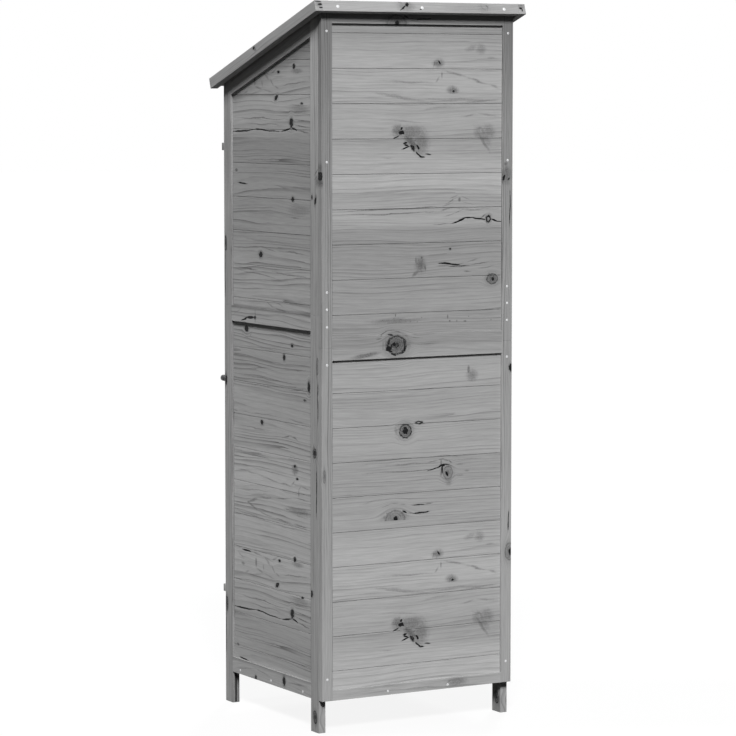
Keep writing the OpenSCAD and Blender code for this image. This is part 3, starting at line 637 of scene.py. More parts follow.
    # Fibres are finer than the render shows, so they are drawn 2 mm wide and 60 mm long
    fibre = add(tree, "ShaderNodeVectorMath", {0: grain, 1: (16, 520, 1)}, operation="MULTIPLY")
    fibre = add(tree, "ShaderNodeTexNoise", {"Vector": fibre, "Scale": 1, "Detail": 3, "Roughness": 0.65})
    broad = add(tree, "ShaderNodeVectorMath", {0: grain, 1: (1.2, 22, 7)}, operation="MULTIPLY")
    broad = add(tree, "ShaderNodeTexNoise", {"Vector": broad, "Scale": 1, "Detail": 3, "Roughness": 0.6})
    tone = add(tree, "ShaderNodeMath", {0: late, 1: -0.46 * lines, 2: 1.53}, operation="MULTIPLY_ADD")
    tone = add(tree, "ShaderNodeMath", {0: fibre, 1: -0.62, 2: tone}, operation="MULTIPLY_ADD")
    tone = add(tree, "ShaderNodeMath", {0: broad, 1: -0.36, 2: tone}, operation="MULTIPLY_ADD")
    if tones:
        lift = add(tree, "ShaderNodeMath", {0: height, 1: 1.8}, operation="DIVIDE")
        ramp = add(tree, "ShaderNodeValToRGB", {"Fac": lift}).node
        set_ramp(ramp, [(z / 1800, linear(code)) for z, code in tones])
        colour = ramp.outputs[0]
    else:
        colour = colour[:3]
    colour = add(tree, "ShaderNodeVectorMath", {0: colour, "Scale": tone}, operation="SCALE")
    colour = add(tree, "ShaderNodeMix", {"Factor": dark, 6: colour, 7: tuple(finishes.knot)}, 2, data_type="RGBA")
    tree.links.new(colour, shader.inputs["Base Color"])
    shader.inputs["Roughness"].default_value = 0.68
    shader.inputs["Specular IOR Level"].default_value = 0.12
    relief = add(tree, "ShaderNodeMath", {0: late, 1: -0.6, 2: fibre}, operation="MULTIPLY_ADD")
    relief = add(tree, "ShaderNodeMath", {0: dark, 1: -0.8, 2: relief}, operation="MULTIPLY_ADD")
    bump = add(tree, "ShaderNodeBump", {"Strength": 0.35, "Distance": 0.0006, "Height": relief})
    tree.links.new(bump, shader.inputs["Normal"])


def make_fir():
    """All firs of the shed, each with the knots of its own panel."""
    finishes = bpy.context.scene.shed_finish
    glaze, upright_glaze = tuple(finishes.glaze), tuple(finishes.glaze_upright)
    # Mid grey boards with calm flat grain, and black knots, splits and bark lines that catch the eye first
    fir(
        "Fir_glazed_back_boards", 0, 2, glaze,
        knots=(
            (-104, 1581, 4, 3, 0, 1.0), (44, 1480, 8, 4, 25, 1.0), (-95, 1190, 3, 3, 0, 0.9),
            (-221, 1111, 4.5, 5, 0, 1.0), (-219, 1112, 16, 13, 0, 0.7), (70, 958, 5, 6, 0, 1.0),
            (63, 956, 27, 23, 0, 0.8), (34, 741, 8, 10, 0, 1.0), (34, 740, 17, 17, 0, 0.85),
            (-87, 626, 7, 3.4, 63, 1.0), (-90, 629, 14, 16, 0, 0.5), (62, 523, 7, 5.5, 0, 1.0),
            (64, 520, 28, 23, 0, 0.5),
        ),
        eyes=((-207, 1263, 8, 10, 0, 1.0), (-5, 759, 11, 4, 0, 0.9)),
        cracks=(
            # Small knot with a streak under the top board
            (-60, 1650, 17, 12, 0, 0.46), (-63, 1653, 6, 2, 60, 0.9), (-48, 1650, 2.4, 11, 12, 0.45),
            (-70, 1622, 2.5, 8, 0, 0.5), (-110, 1625, 38, 2.6, 12, 0.36), (-175, 1607, 38, 2.6, 15, 0.36),
            (-222, 1594, 16, 2.6, 16, 0.3), (35, 1604, 85, 2.6, 1, 0.26), (-57, 1611, 10, 2.4, -50, 0.3),
            (-155, 1688, 20, 8, -20, 0.21), (-184, 1686, 15, 14, 0, 0.28), (-215, 1665, 12, 1.8, 0, 0.3),
            (-102, 1584, 18, 9, 0, 0.46), (-103, 1584, 9, 6, 0, 0.5),
            # Broad bands of the next board
            (-110, 1561, 130, 3.0, 0, 0.26), (-65, 1540, 50, 2.6, -6, 0.24), (-150, 1522, 24, 2.2, -11, 0.24),
            (-205, 1522, 36, 2.2, 7, 0.24), (45, 1508, 78, 2.2, 3, 0.24),
            # Branch that runs down through two boards
            (18, 1456, 46, 13, 47, 0.58), (20, 1480, 48, 18, 0, 0.4), (-10, 1455, 24, 34, 0, 0.36),
            (57, 1485, 18, 14, 0, 0.48), (47, 1480, 8, 4.4, -20, 1.0), (46, 1490, 4, 2.4, -40, 0.8),
            (61, 1469, 10, 1.7, -27, 0.8), (35, 1453, 6, 3, -25, 1.0), (32, 1447, 7, 1.6, 10, 0.8),
            (33, 1441, 12, 1.4, -18, 1.0), (14, 1441, 10, 5, 50, 0.7), (20, 1455, 1.6, 8, 0, 0.5),
            (-1, 1443, 7, 2.8, 60, 1.0), (-3, 1425, 11, 2, 44, 1.0), (-14, 1419, 8, 1.4, 4, 0.7),
            (7, 1462, 7, 1.6, -20, 0.6), (-31, 1426, 9, 1.2, 8, 0.7), (87, 1418, 20, 1.0, 0, 0.4),
            # Scar at its right
            (-188, 1462, 38, 5, 55, 0.36), (-181, 1492, 10, 3.5, 0, 0.4), (-191, 1482, 14, 5, 62, 0.34),
            (-207, 1482, 22, 17, 30, 0.3), (-176, 1480, 13, 17, 0, 0.25), (-196, 1466, 26, 12, 50, 0.25),
            # Wavy lines over the long crack
            (-85, 1300, 22, 1.3, -18, 0.3), (-98, 1309, 20, 1.3, -22, 0.34), (-105, 1318, 16, 1.3, -24, 0.34),
            (-122, 1312, 4, 6, 0, 0.46), (-140, 1316, 14, 1.3, 20, 0.3), (-148, 1303, 18, 1.2, 10, 0.26),
            (-84, 1288, 22, 1.4, -12, 0.4), (-165, 1289, 80, 1.4, 1, 0.4), (60, 1291, 170, 1.4, -1, 0.6),
            (70, 1281, 160, 1.2, -1, 0.5), (-95, 1275, 20, 1.2, -12, 0.3), (-118, 1281, 14, 1.3, -20, 0.36),
            (-155, 1285.5, 30, 1.2, 3, 0.3), (-75, 1253, 34, 1.0, 0, 0.6), (-118, 1259.5, 21, 1.6, -19, 1.0),
            (-150, 1267, 18, 1.2, 0, 0.8), (-182, 1264, 20, 1.2, 4, 0.9), (-191, 1269, 9, 1.2, -25, 0.6),
            (-225, 1259, 12, 1.6, 20, 1.0), (-242, 1255, 10, 1.2, 5, 0.7),
            # Rough patch and the split beside it
            (-9, 1152, 17, 22, 0, 0.5), (4, 1163, 3, 10, 0, 0.5), (-4, 1150, 3, 14, 8, 0.5), (-14, 1158, 3, 13, 0, 0.5),
            (-22, 1146, 3, 12, -6, 0.46), (-12, 1170, 5, 4, 0, 0.6), (5, 1132, 12, 4, -30, 0.4),
            (-92, 1153, 30, 1.5, 2, 1.0), (-112, 1151.5, 12, 1.8, 0, 0.9), (-121, 1146.5, 28, 1.1, 0, 0.8),
            (-183, 1152, 32, 1.1, -10, 0.5), (-122, 1153, 17, 1.1, -10, 0.4), (-75, 1149, 22, 1.0, 0, 0.35),
            (-160, 1160, 22, 1.2, -12, 0.35), (-145, 1133, 11, 1.4, 0, 0.5), (-203, 1142, 26, 1.2, -8, 0.3),
            (-213, 1122, 9, 3, 10, 0.5), (-226, 1101, 8, 2, -10, 0.4),
            # Big knot: bark at its rim, and the grain that arches over it
            (64, 966, 22, 10, 0, 0.46), (85, 964, 2.6, 9, 0, 0.85), (86, 948, 8, 4.5, -15, 1.0),
            (80, 943, 6, 2.6, 20, 0.9), (72, 933, 8, 1.8, 20, 0.9), (41.5, 958, 1.8, 8, -8, 0.7),
            (40, 946, 3, 7, 0, 1.0), (46, 936, 5, 1.6, -30, 0.7), (78, 953, 2.4, 6, 0, 0.7), (76, 972, 8, 2, -15, 0.6),
            (94, 958, 1.8, 20, 0, 0.46), (102, 957, 1.6, 14, 0, 0.4), (113, 975, 9, 1.4, -8, 0.6),
            (97, 986.5, 14, 1.4, -28, 0.6), (78, 992, 14, 1.2, -3, 0.6), (57, 988, 15, 1.3, 17, 0.5),
            (78, 981, 7, 1.6, 0, 0.8), (36, 979, 12, 1.4, 25, 0.4), (8, 973, 20, 1.4, 4, 0.36), (30, 952, 9, 8, 0, 0.3),
            (150, 933, 42, 5.5, -9, 0.46), (155, 936, 34, 1.5, -10, 0.5), (-20, 955, 40, 1.6, 0, 0.3),
            # Round knot and its ring
            (61, 742, 5, 10, -10, 0.32), (57, 722, 10, 2.2, 43, 0.2), (34, 716, 14, 2, 0, 0.14),
            (16, 722, 9, 2, -35, 0.14),
            # Torn knot between two long lines
            (25, 640, 130, 1.0, 0, 0.6), (-48, 640, 18, 1.2, -12, 0.8), (-66, 646, 9, 2.0, -30, 0.9),
            (-75, 648, 6, 3, 0, 0.9), (-73, 639, 2.6, 9, 0, 1.0), (-70, 628, 4, 8, 0, 0.35), (-70, 656, 2.8, 9, 0, 0.4),
            (20, 656, 80, 1.3, 0, 0.35), (-45, 659.5, 20, 1.4, -10, 0.45), (-70, 664, 10, 1.6, -4, 0.6),
            (-84, 661, 12, 1.6, 17, 0.55), (-97, 656, 9, 1.4, 35, 0.5), (-83, 650, 12, 1.6, 3, 0.7),
            (-97, 646, 10, 1.4, 22, 0.5), (-92, 610, 11, 14, 0, 0.28), (-125, 647, 16, 1.7, -3, 0.34),
            (-145, 631, 8, 2.2, 0, 0.34), (-125, 620, 14, 1.5, 0, 0.34), (-85, 671, 46, 1.4, 3, 0.4),
            (-150, 660, 50, 1.4, 0, 0.32), (60, 671, 100, 1.3, 0, 0.3), (80, 663, 110, 1.1, 0, 0.26),
            # Half knot that the joint cuts off
            (62, 522, 17, 13, 0, 0.3), (50, 530, 9, 2.4, 50, 0.6), (77, 528, 2.6, 8, 0, 0.45),
            (93, 525, 6, 8, -25, 0.3), (36, 537.5, 8, 1.8, 32, 0.8), (20, 532.5, 14, 1.4, 3, 0.5),
            (-12, 533.5, 23, 1.3, -4, 1.0), (90, 556, 15, 1.5, -14, 0.35), (65, 561, 14, 1.5, 0, 0.32),
            (42, 557, 12, 1.5, 14, 0.35), (-5, 554, 21, 1.1, 0, 0.7), (-34, 555.5, 14, 1.4, 0, 0.5),
            (36, 525, 11, 9, 0, 0.21), (110, 570, 50, 1.6, -5, 0.25), (40, 572, 40, 1.6, 4, 0.25),
            # Stain, and flecks left by insects over the big knot
            (50, 1566, 76, 4.0, 9, 0.25), (-190, 1558, 50, 4.0, -4, 0.28), (-160, 872, 17, 15, 0, 0.35),
            (-150, 885, 4, 12, 0, 0.46), (58, 1016, 80, 6, 0, 0.3), (100, 1018, 3, 1.4, 0, 0.5),
            (85, 1012, 3, 1.4, 0, 0.45), (68, 1021, 2.4, 1.5, 0, 0.5), (47, 1018, 5, 2, 20, 0.55),
            (35, 1014, 3, 1.5, 0, 0.5), (20, 1012, 4, 1.5, 0, 0.5), (0, 1011, 3, 1.4, 0, 0.4),
            (-12, 1021, 2.4, 2, 0, 0.4), (-88, 1021, 2.6, 7, 0, 0.5), (-94, 1010, 3, 1.5, 0, 0.6),
            (-115, 1009, 2, 1.5, 0, 0.45), (-139, 1008, 5, 1.5, 0, 0.55), (-150, 1020, 2, 2, 0, 0.45),
            (-216, 1009, 3, 1.6, 0, 0.45), (63, 1029, 2, 4, 0, 0.45),
        ),
        # The last two tones, from 1747 mm up, are painted shade on the top rail under the fascia
        tones=(
            (0, "#a8a8a8"), (150, "#b2b2b2"), (200, "#a4a4a4"), (250, "#a1a1a1"), (400, "#b0b0b0"), (518, "#a3a3a3"),
            (560, "#a0a0a0"), (650, "#9c9c9c"), (710, "#a5a5a5"), (800, "#a1a1a1"), (900, "#a6a6a6"), (954, "#9a9a9a"),
            (956, "#909090"), (1060, "#9c9c9c"), (1160, "#959595"), (1243, "#959595"), (1247, "#a4a4a4"),
            (1320, "#a4a4a4"), (1360, "#b4b4b4"), (1400, "#aaaaaa"), (1450, "#a4a4a4"), (1540, "#a9a9a9"),
            (1640, "#afafaf"), (1720, "#9d9d9d"), (1744, "#9c9c9c"), (1747, "#7b7b7b"), (1800, "#767676"),
        ),
        tile=(518, 1743), seed=1.3, ring=10, lines=0.7, sway=0.008,
    )
    # A calm pale bar under the boards, with one patch of crossed grain
    fir(
        "Fir_glazed_back_bottom_rail", 0, 2, linear("#a8a8a8"),
        cracks=(
            (-115, 96, 32, 12, 0, 0.35), (-92, 100, 10, 1.6, -20, 0.5), (-104, 95, 10, 1.6, -24, 0.5),
            (-112, 88, 9, 1.5, -20, 0.45), (-122, 101, 9, 1.6, 20, 0.5), (-131, 94, 8, 1.5, 24, 0.45),
            (90, 103, 80, 3.5, -1, 0.2), (-20, 90, 60, 1.6, 1, 0.3),
        ),
        seed=31.7, ring=10, lines=0.7, sway=0.008,
    )
    # Paler between two joints; darker at the middle rail's top edge and under the roof, both painted shade
    side_tones = (
        (0, "#a0a0a0"), (238, "#a0a0a0"), (242, "#a4a4a4"), (400, "#b0b0b0"), (560, "#b1b1b1"), (610, "#b6b6b6"),
        (700, "#ababab"), (860, "#a1a1a1"), (1032, "#a6a6a6"), (1033, "#707070"), (1035, "#707070"), (1036, "#a6a6a6"),
        (1130, "#a8a8a8"), (1200, "#9d9d9d"), (1400, "#9a9a9a"), (1464, "#949494"), (1468, "#a4a4a4"),
        (1550, "#acacac"), (1630, "#a6a6a6"), (1700, "#8a8a8a"), (1800, "#868686"),
    )
    # Livelier boards than the back's: bold dark growth lines, a flame, and many small black knots
    fir(
        "Fir_glazed_right_side", 1, 2, glaze,
        knots=(
            (99, 278, 9, 13, 0, 1.0), (152, 325, 7, 3, 0, 0.9), (20, 339, 10, 6, 25, 1.0), (32, 403, 6, 3.5, 0, 1.0),
            (113, 416, 6, 7, 0, 1.0), (126, 620, 6, 3, 0, 0.9), (114, 651, 6, 4, 20, 0.9),
            (-60, 745, 8, 6, 0, 1.0), (166, 820, 8, 3, 0, 0.7), (187, 855, 7, 14, 0, 1.0), (59, 919, 7, 8, 20, 1.0),
            (101, 951, 6, 4, 0, 1.0), (-142, 979, 11, 9, 0, 1.0), (-84, 1011, 5, 4, 0, 1.0),
            (-64, 1171, 10, 8, 0, 1.0), (106, 1315, 7, 6, 0, 1.0), (-195, 1382, 6, 4, 0, 0.5),
        ),
        cracks=(
            # Crack round the lowest knot
            (-155, 257, 62, 1.8, 3, 1.0), (-30, 258.5, 72, 1.6, -1, 0.9), (72, 260.5, 25, 1.8, 9, 1.0),
            (113, 261, 15, 1.9, -12, 1.0), (160, 256, 38, 1.5, -4, 0.6), (-60, 287.5, 155, 1.4, -1, 0.5),
            (150, 284, 46, 1.6, -1, 0.58), (-30, 273, 105, 1.4, -1, 0.4), (150, 270, 46, 1.6, -4, 0.6),
            (140, 313, 54, 9, 0, 0.28), (130, 322, 48, 1.6, 0, 0.5), (150, 311, 40, 1.5, 3, 0.4),
            (140, 302, 48, 1.4, 0, 0.36),
            # Swirl of grain under the second joint
            (-145, 409, 23, 2.0, -3, 1.0), (-195, 413, 22, 1.4, -6, 0.45), (-90, 406, 32, 1.8, -6, 0.4),
            (-30, 398, 34, 2.4, -8, 0.3), (6, 405, 18, 3.4, 25, 0.34), (128, 404, 32, 5, 0, 0.35),
            (-94, 383, 5, 12, 0, 0.46), (-74, 364, 21, 3.6, -12, 0.36), (-54, 376, 3.4, 9, 12, 0.24),
            (-34, 393, 22, 3.6, -28, 0.34), (-2, 377, 15, 3, -44, 0.34), (20, 367, 14, 1.8, -6, 0.36),
            (-90, 352, 34, 2.6, 9, 0.3), (-20, 357, 34, 1.6, -8, 0.3), (-165, 371, 11, 5, 0, 0.39),
            (-142, 355, 12, 2.4, 20, 0.3), (-178, 392, 20, 2, -24, 0.24), (112, 374, 80, 1.6, 4, 0.5),
            # Flame: two arms that part from one point
            (-134, 534, 9, 4, 0, 0.4), (-112, 541.5, 27, 4, 15, 0.38), (-43, 554.5, 45, 2.0, 6, 0.36),
            (50, 563.5, 52, 1.7, 4, 0.4), (148, 570, 48, 1.7, 2, 0.45), (-112, 525.5, 27, 4, -16, 0.38),
            (-43, 513, 45, 2.2, -7, 0.36), (50, 506, 52, 2.0, -2, 0.45), (148, 504, 48, 2.0, 0, 0.5),
            (134, 539, 66, 10, 0, 0.35), (75, 539, 16, 2.4, 0, 0.5), (130, 545, 58, 2.6, 3, 0.34),
            (150, 536, 44, 3, 0, 0.34), (140, 529, 48, 2.4, -3, 0.3), (-120, 566.5, 100, 1.8, 4, 0.28),
            (-115, 502, 105, 1.8, -4, 0.34), (90, 492, 112, 1.6, 0, 0.34), (-115, 612, 100, 1.6, -3, 0.28),
            (-15, 603, 62, 1.8, -4, 0.38), (62, 600, 40, 1.8, 0, 0.38), (105, 607, 13, 1.8, 28, 0.34),
            (-100, 657, 112, 1.5, 0, 0.5), (-20, 624, 120, 1.5, -2, 0.3), (172, 601, 25, 1.8, -9, 0.36),
            (139, 598, 11, 2.2, 49, 0.32), (134, 583, 2.4, 9, 0, 0.46), (115, 642, 18, 13, 0, 0.42),
            (104, 645, 9, 2, -40, 0.5), (122, 643, 9, 2, 40, 0.45), (112, 634, 4, 6, 0, 0.4),
            # Lines over the flame and the knot in the joint of the middle rail
            (72, 722, 26, 1.7, 9, 0.55), (112, 719, 20, 1.7, -11, 0.5), (-95, 728, 100, 1.4, 0, 0.36),
            (-60, 766, 130, 1.4, 1, 0.34), (130, 764, 60, 1.4, -2, 0.34), (-60, 838, 120, 1.4, 1, 0.34),
            (120, 842, 60, 1.4, 6, 0.4), (-20, 857, 170, 1.4, -1, 0.36), (-60, 884, 60, 1.4, 3, 0.4),
            (140, 892, 34, 1.5, 6, 0.45), (-20, 936, 190, 1.3, 1, 0.3), (-140, 958, 15, 1.8, 0, 0.26),
            (-164, 966, 8, 1.8, -50, 0.26), (-120, 966, 8, 1.8, 50, 0.26), (-83, 1014, 3, 17, 0, 0.4),
            (-142, 1003.5, 17, 2.0, 18, 0.9), (-108, 1009.5, 19, 2.0, 4, 0.9), (-14, 1046, 24, 1.7, -24, 0.4),
            (42, 1036, 40, 1.6, -4, 0.4), (30, 1050, 30, 1.5, -12, 0.3), (-180, 1022, 34, 1.4, 24, 0.2),
            # Upper panel
            (-115, 1188, 100, 1.5, 3, 0.4), (-15, 1186, 34, 1.5, -10, 0.36), (110, 1182, 84, 1.5, -2, 0.45),
            (-50, 1206, 160, 2.4, -2, 0.2), (-130, 1133, 60, 1.6, -2, 0.5), (90, 1127, 110, 1.6, -3, 0.45),
            (-80, 1121, 130, 1.5, -4, 0.4), (-161, 1348, 24, 2.0, -2, 1.0), (140, 1288, 60, 14, 0, 0.21),
            (120, 1270, 26, 1.5, -3, 0.45), (-20, 1412, 190, 1.5, 1, 0.3),
        ),
        tones=side_tones, tile=(240, 1466), seed=4.1, ring=14, lines=1.25, sway=0.013,
    )
    # Two small knots, soft lines, and a dark stripe of painted shade along the ledge where the lowest board meets the
    # rail
    fir(
        "Fir_glazed_side_bottom_rail", 1, 2, glaze, knots=((67, 103, 8, 12, 0, 1.0), (-86, 86, 6, 7, 0, 0.9)),
        cracks=((-140, 102, 60, 1.8, 6, 0.3), (-50, 106, 50, 1.6, -6, 0.3), (135, 104, 56, 2.6, 5, 0.4)),
        tones=((0, "#a4a4a4"), (114, "#a4a4a4"), (116.5, "#868686"), (124, "#868686"), (126, "#a4a4a4")),
        seed=35.9, ring=12, lines=0.6, sway=0.013,
    )
    # Fine lines that run up with the roof
    fir("Fir_glazed_side_top_rail", 1, 2, glaze, seed=41.3, ring=8, lines=0.8, sway=0.008, sloped=True)
    # Like the right side, with knots of its own
    fir(
        "Fir_glazed_left_side", 1, 2, glaze,
        knots=(
            (-96, 1308, 11, 10, 0, 1.0), (70, 1376, 9, 6, 10, 0.8), (140, 1182, 12, 9, 0, 0.5),
            (-40, 1050, 8, 8, 0, 1.0), (112, 960, 6, 4, 0, 0.9), (-150, 896, 13, 10, 0, 0.5), (40, 730, 12, 11, 0, 0.9),
            (-118, 606, 8, 6, 0, 1.0), (88, 490, 9, 9, 0, 1.0), (-20, 366, 16, 12, 10, 0.45), (150, 292, 8, 6, 0, 1.0),
        ),
        cracks=((40, 1224, 60, 1.2, 0, 0.9), (-60, 812, 40, 1.4, 0, 0.8), (90, 410, 50, 1.2, 0, 0.8)),
        tones=side_tones, tile=(240, 1466), seed=7.7, ring=13, lines=1.2, sway=0.02,
    )
    # Even grain with a few round knots, for the door and the front rails
    fir(
        "Fir_glazed_door_boards", 0, 2, glaze,
        knots=(
            (-120, 1468, 12, 9, 0, 0.9), (84, 1392, 9, 9, 0, 1.0), (-30, 1262, 20, 12, -15, 0.5),
            (150, 1214, 7, 5, 0, 0.9), (-168, 1124, 9, 8, 0, 1.0), (60, 1078, 8, 5, 0, 0.8), (-70, 930, 15, 14, 0, 0.8),
            (128, 858, 10, 8, 0, 0.5), (10, 742, 8, 8, 0, 1.0), (-150, 654, 14, 9, 20, 0.6), (98, 566, 11, 11, 0, 1.0),
        ),
        cracks=((40, 1330, 70, 1.3, 0, 0.9), (-110, 1010, 50, 1.2, 0, 0.8), (90, 690, 60, 1.4, 0, 0.9)),
        tile=(480, 1540), seed=10.9, ring=11, lines=1.1, sway=0.016,
    )
    # Close upright lines, long knots and drying cracks in the posts, which are painted lighter towards the roof as
    # painted light against the roof's shade
    fir(
        "Fir_glazed_posts", 2, 1, upright_glaze,
        knots=(
            (1315, 233, 11, 4.5, 18, 1.0), (1323, 216, 7, 3.5, 0, 0.9), (910, 242, 20, 5, 0, 0.6),
            (695, 228, 14, 11, 0, 0.7), (695, 228, 7, 6, 0, 1.0), (344, 211, 9, 7, 0, 1.0), (38, 228, 16, 9, -10, 1.0),
            (1193, -244, 18, 6, 0, 1.0), (840, -244, 14, 6, 0, 1.0), (257, -244, 18, 6, 0, 1.0),
            # A long dark stripe along the front posts' inner edge is painted shade on the step beside the boards
            (900, -213.3, 2000, 2.2, 0, 0.3),
        ),
        cracks=(
            (1120, -248, 60, 1.4, 0, 1.0), (180, -248, 60, 1.4, 0, 1.0), (600, 236, 60, 1.6, 0, 0.8),
            # The two broad soft marks on the front posts' face take part of the painted light back off them
            (820, 244, 50, 1.6, 0, 0.7), (1480, -232, 160, 30, 0, 0.26), (1100, -232, 170, 30, 0, 0.12),
            (1362, 241, 18, 8, 0, 0.5), (1385, 238, 14, 1.6, 50, 0.6), (1372, 237, 12, 1.6, 50, 0.5),
        ),
        # Lighter towards the roof: painted light against the shade under the roof
        tones=(
            (0, "#9c9c9c"), (600, "#9d9d9d"), (1000, "#a0a0a0"), (1250, "#9e9e9e"), (1400, "#a6a6a6"),
            (1550, "#b0b0b0"), (1700, "#b4b4b4"), (1800, "#b0b0b0"),
        ),
        seed=13.3, ring=7, lines=1.3, sway=0.008,
    )
    # Closer lines still, in stiles painted darker towards the roof as painted shade
    fir(
        "Fir_glazed_stiles", 2, 0, upright_glaze,
        knots=(
            (1376, 275, 10, 3, 0, 1.0), (1366, -249, 8, 3.5, -18, 1.0), (1362, -263, 5, 2.4, -30, 0.9),
            (886, -272, 10, 6, 0, 1.0), (417, -271, 22, 14, 0, 0.5), (417, -273, 10, 6, 0, 1.0),
            (640, 268, 16, 4, 0, 0.5),
        ),
        cracks=(
            (495, -266, 25, 1.6, 0, 1.0), (1290, -268, 40, 1.2, 0, 0.9), (1300, 260, 330, 30, 0, 0.1),
            (1360, 275, 16, 4, 0, 0.6), (1396, 275, 18, 3, 0, 0.45), (1372, -256, 24, 15, 0, 0.36),
            (1385, -255, 12, 1.6, -62, 0.55), (1400, -253, 5, 5, 0, 0.36),
        ),
        tones=(
            (0, "#a0a0a0"), (300, "#9f9f9f"), (500, "#9e9e9e"), (900, "#9c9c9c"), (1100, "#9b9b9b"), (1300, "#999999"),
            (1500, "#909090"), (1700, "#7f7f7f"), (1800, "#747474"),
        ),
        seed=16.9, ring=6, lines=1.2, sway=0.006,
    )
    fascia = tuple(finishes.glaze_fascia)
    # Light smooth edge of the roof, with one knot torn by the planer and a faint stain
    fir(
        "Fir_glazed_back_fascia", 0, 2, fascia, knots=((43, 1608, 5, 4.4, 30, 1.0),),
        cracks=(
            (46, 1605, 26, 14, 0, 0.3), (54, 1601, 11, 1.2, -28, 0.8), (40, 1612, 5, 1.6, 60, 0.7),
            (62, 1614, 14, 1.6, 20, 0.5), (5, 1597, 3, 1.2, 0, 0.8), (-178, 1603, 26, 14, 0, 0.22),
            (-177, 1603, 13, 2, 36, 0.45), (-189, 1608, 6, 1.6, 40, 0.6), (-190, 1603, 3, 10, 20, 0.3),
            (-150, 1604, 110, 14, 0, 0.12),
        ),
        seed=19.1, ring=7, lines=0.7, sloped=True,
    )
    # The same light edge along the slope, almost clean
    fir(
        "Fir_glazed_side_fascia", 1, 2, fascia, knots=((-18, 1609, 5, 4, 0, 1.0),),
        cracks=((-13, 1603, 8, 5, -30, 0.4),), seed=22.3, ring=7, sloped=True,
    )
    # Sawn rear ends of the side fascia: dark spots where the grain drinks more glaze
    fir(
        "Fir_glazed_fascia_ends", 0, 2, fascia,
        cracks=(
            (292, 1613, 9, 1.4, 0, 1.0), (287, 1605, 6, 2.0, 0, 1.0), (285.5, 1597.5, 5, 1.5, 0, 1.0),
            (-287.5, 1604.5, 4.4, 2.2, 20, 1.0), (-291, 1600, 1.8, 3, 0, 0.9), (-284, 1612.5, 3, 1.4, 0, 0.5),
            (-297, 1614, 3, 1.2, 0, 0.5), (-289, 1608, 10, 9, 0, 0.3), (290, 1606, 10, 9, 0, 0.3),
        ),
        seed=37.9, ring=5, sloped=True,
    )
    # Painted shade in a groove that runs on below the boards: it reads as a dark slit in the leg
    fir("Fir_groove_painted_shade", 2, 1, linear("#404040"), seed=43.1, lines=0.4)
    bare = tuple(finishes.bare)
    # Fir as it comes from the planer: pale and warm, with the same lines but weaker
    fir(
        "Fir_bare_across", 0, 1, bare, seed=25.7, lines=0.7,
        knots=((-140, 60, 12, 9, 0, 0.5), (90, -110, 9, 7, 0, 0.6), (150, 150, 8, 8, 0, 0.5)),
    )
    fir("Fir_bare_lengthways", 1, 0, bare, seed=28.1, lines=0.7)


def make_felt():
    """Bitumen felt with mineral grit: near black, quite matt, with a fine sparkle of grains."""
    tree, shader = new_material("Roofing_felt_mineral")
    felt = tuple(bpy.context.scene.shed_finish.felt)
    place = add(tree, "ShaderNodeTexCoord", {}, "Object")
    # Grit of 1 mm is drawn 2.5 mm wide, so that it shows
    grit = add(tree, "ShaderNodeTexVoronoi", {"Vector": place, "Scale": 420}, "Color")
    grit = add(tree, "ShaderNodeSeparateColor", {0: grit})
    stain = add(tree, "ShaderNodeTexNoise", {"Vector": place, "Scale": 9, "Detail": 4, "Roughness": 0.6})
    shade = add(tree, "ShaderNodeMapRange", {"Value": grit, "To Min": 0.55, "To Max": 1.5})
    stain = add(
        tree, "ShaderNodeMapRange", {"Value": stain, "From Min": 0.3, "From Max": 0.7, "To Min": 0.8, "To Max": 1.15}
    )
    shade = add(tree, "ShaderNodeMath", {0: shade, 1: stain}, operation="MULTIPLY")
    colour = add(tree, "ShaderNodeVectorMath", {0: felt[:3], "Scale": shade}, operation="SCALE")
    tree.links.new(colour, shader.inputs["Base Color"])
    shader.inputs["Roughness"].default_value = 0.88
    bump = add(tree, "ShaderNodeBump", {"Strength": 0.5, "Distance": 0.0008, "Height": grit})
    tree.links.new(bump, shader.inputs["Normal"])


def make_metals():
    """Steel of the hinges, knobs and screws."""
    finishes = bpy.context.scene.shed_finish
    # Powder coat: black, low sheen, a slight orange peel
    tree, shader = new_material("Steel_black_powder_coat")
    place = add(tree, "ShaderNodeTexCoord", {}, "Object")
    peel = add(tree, "ShaderNodeTexNoise", {"Vector": place, "Scale": 900, "Detail": 2})
    dust = add(tree, "ShaderNodeTexNoise", {"Vector": place, "Scale": 60, "Detail": 3})
    dust = add(
        tree, "ShaderNodeMapRange", {"Value": dust, "From Min": 0.4, "From Max": 0.7, "To Min": 0.85, "To Max": 1.5}
    )
    colour = add(tree, "ShaderNodeVectorMath", {0: tuple(finishes.steel)[:3], "Scale": dust}, operation="SCALE")
    rough = add(
        tree, "ShaderNodeMapRange", {"Value": dust, "From Min": 0.8, "From Max": 1.5, "To Min": 0.38, "To Max": 0.52}
    )
    bump = add(tree, "ShaderNodeBump", {"Strength": 0.25, "Distance": 0.0002, "Height": peel})
    tree.links.new(colour, shader.inputs["Base Color"])
    tree.links.new(rough, shader.inputs["Roughness"])
    tree.links.new(bump, shader.inputs["Normal"])
    # Zinc plate: bright, with a soft haze
    tree, shader = new_material("Steel_zinc_plated")
    place = add(tree, "ShaderNodeTexCoord", {}, "Object")
    haze = add(tree, "ShaderNodeTexNoise", {"Vector": place, "Scale": 450, "Detail": 3})
    rough = add(
        tree, "ShaderNodeMapRange", {"Value": haze, "From Min": 0.3, "From Max": 0.7, "To Min": 0.32, "To Max": 0.5}
    )
    tree.links.new(rough, shader.inputs["Roughness"])
    shader.inputs["Base Color"].default_value = tuple(finishes.zinc)
    shader.inputs["Metallic"].default_value = 0.85


# Operators


class SHED_OT_finishes(bpy.types.Operator):
    """Make the firs, the felt and the metals"""

    bl_idname = "shed.finishes"
    bl_label = "Finishes"

    def execute(self, context):
        make_fir()
        make_felt()
        make_metals()
        return {"FINISHED"}


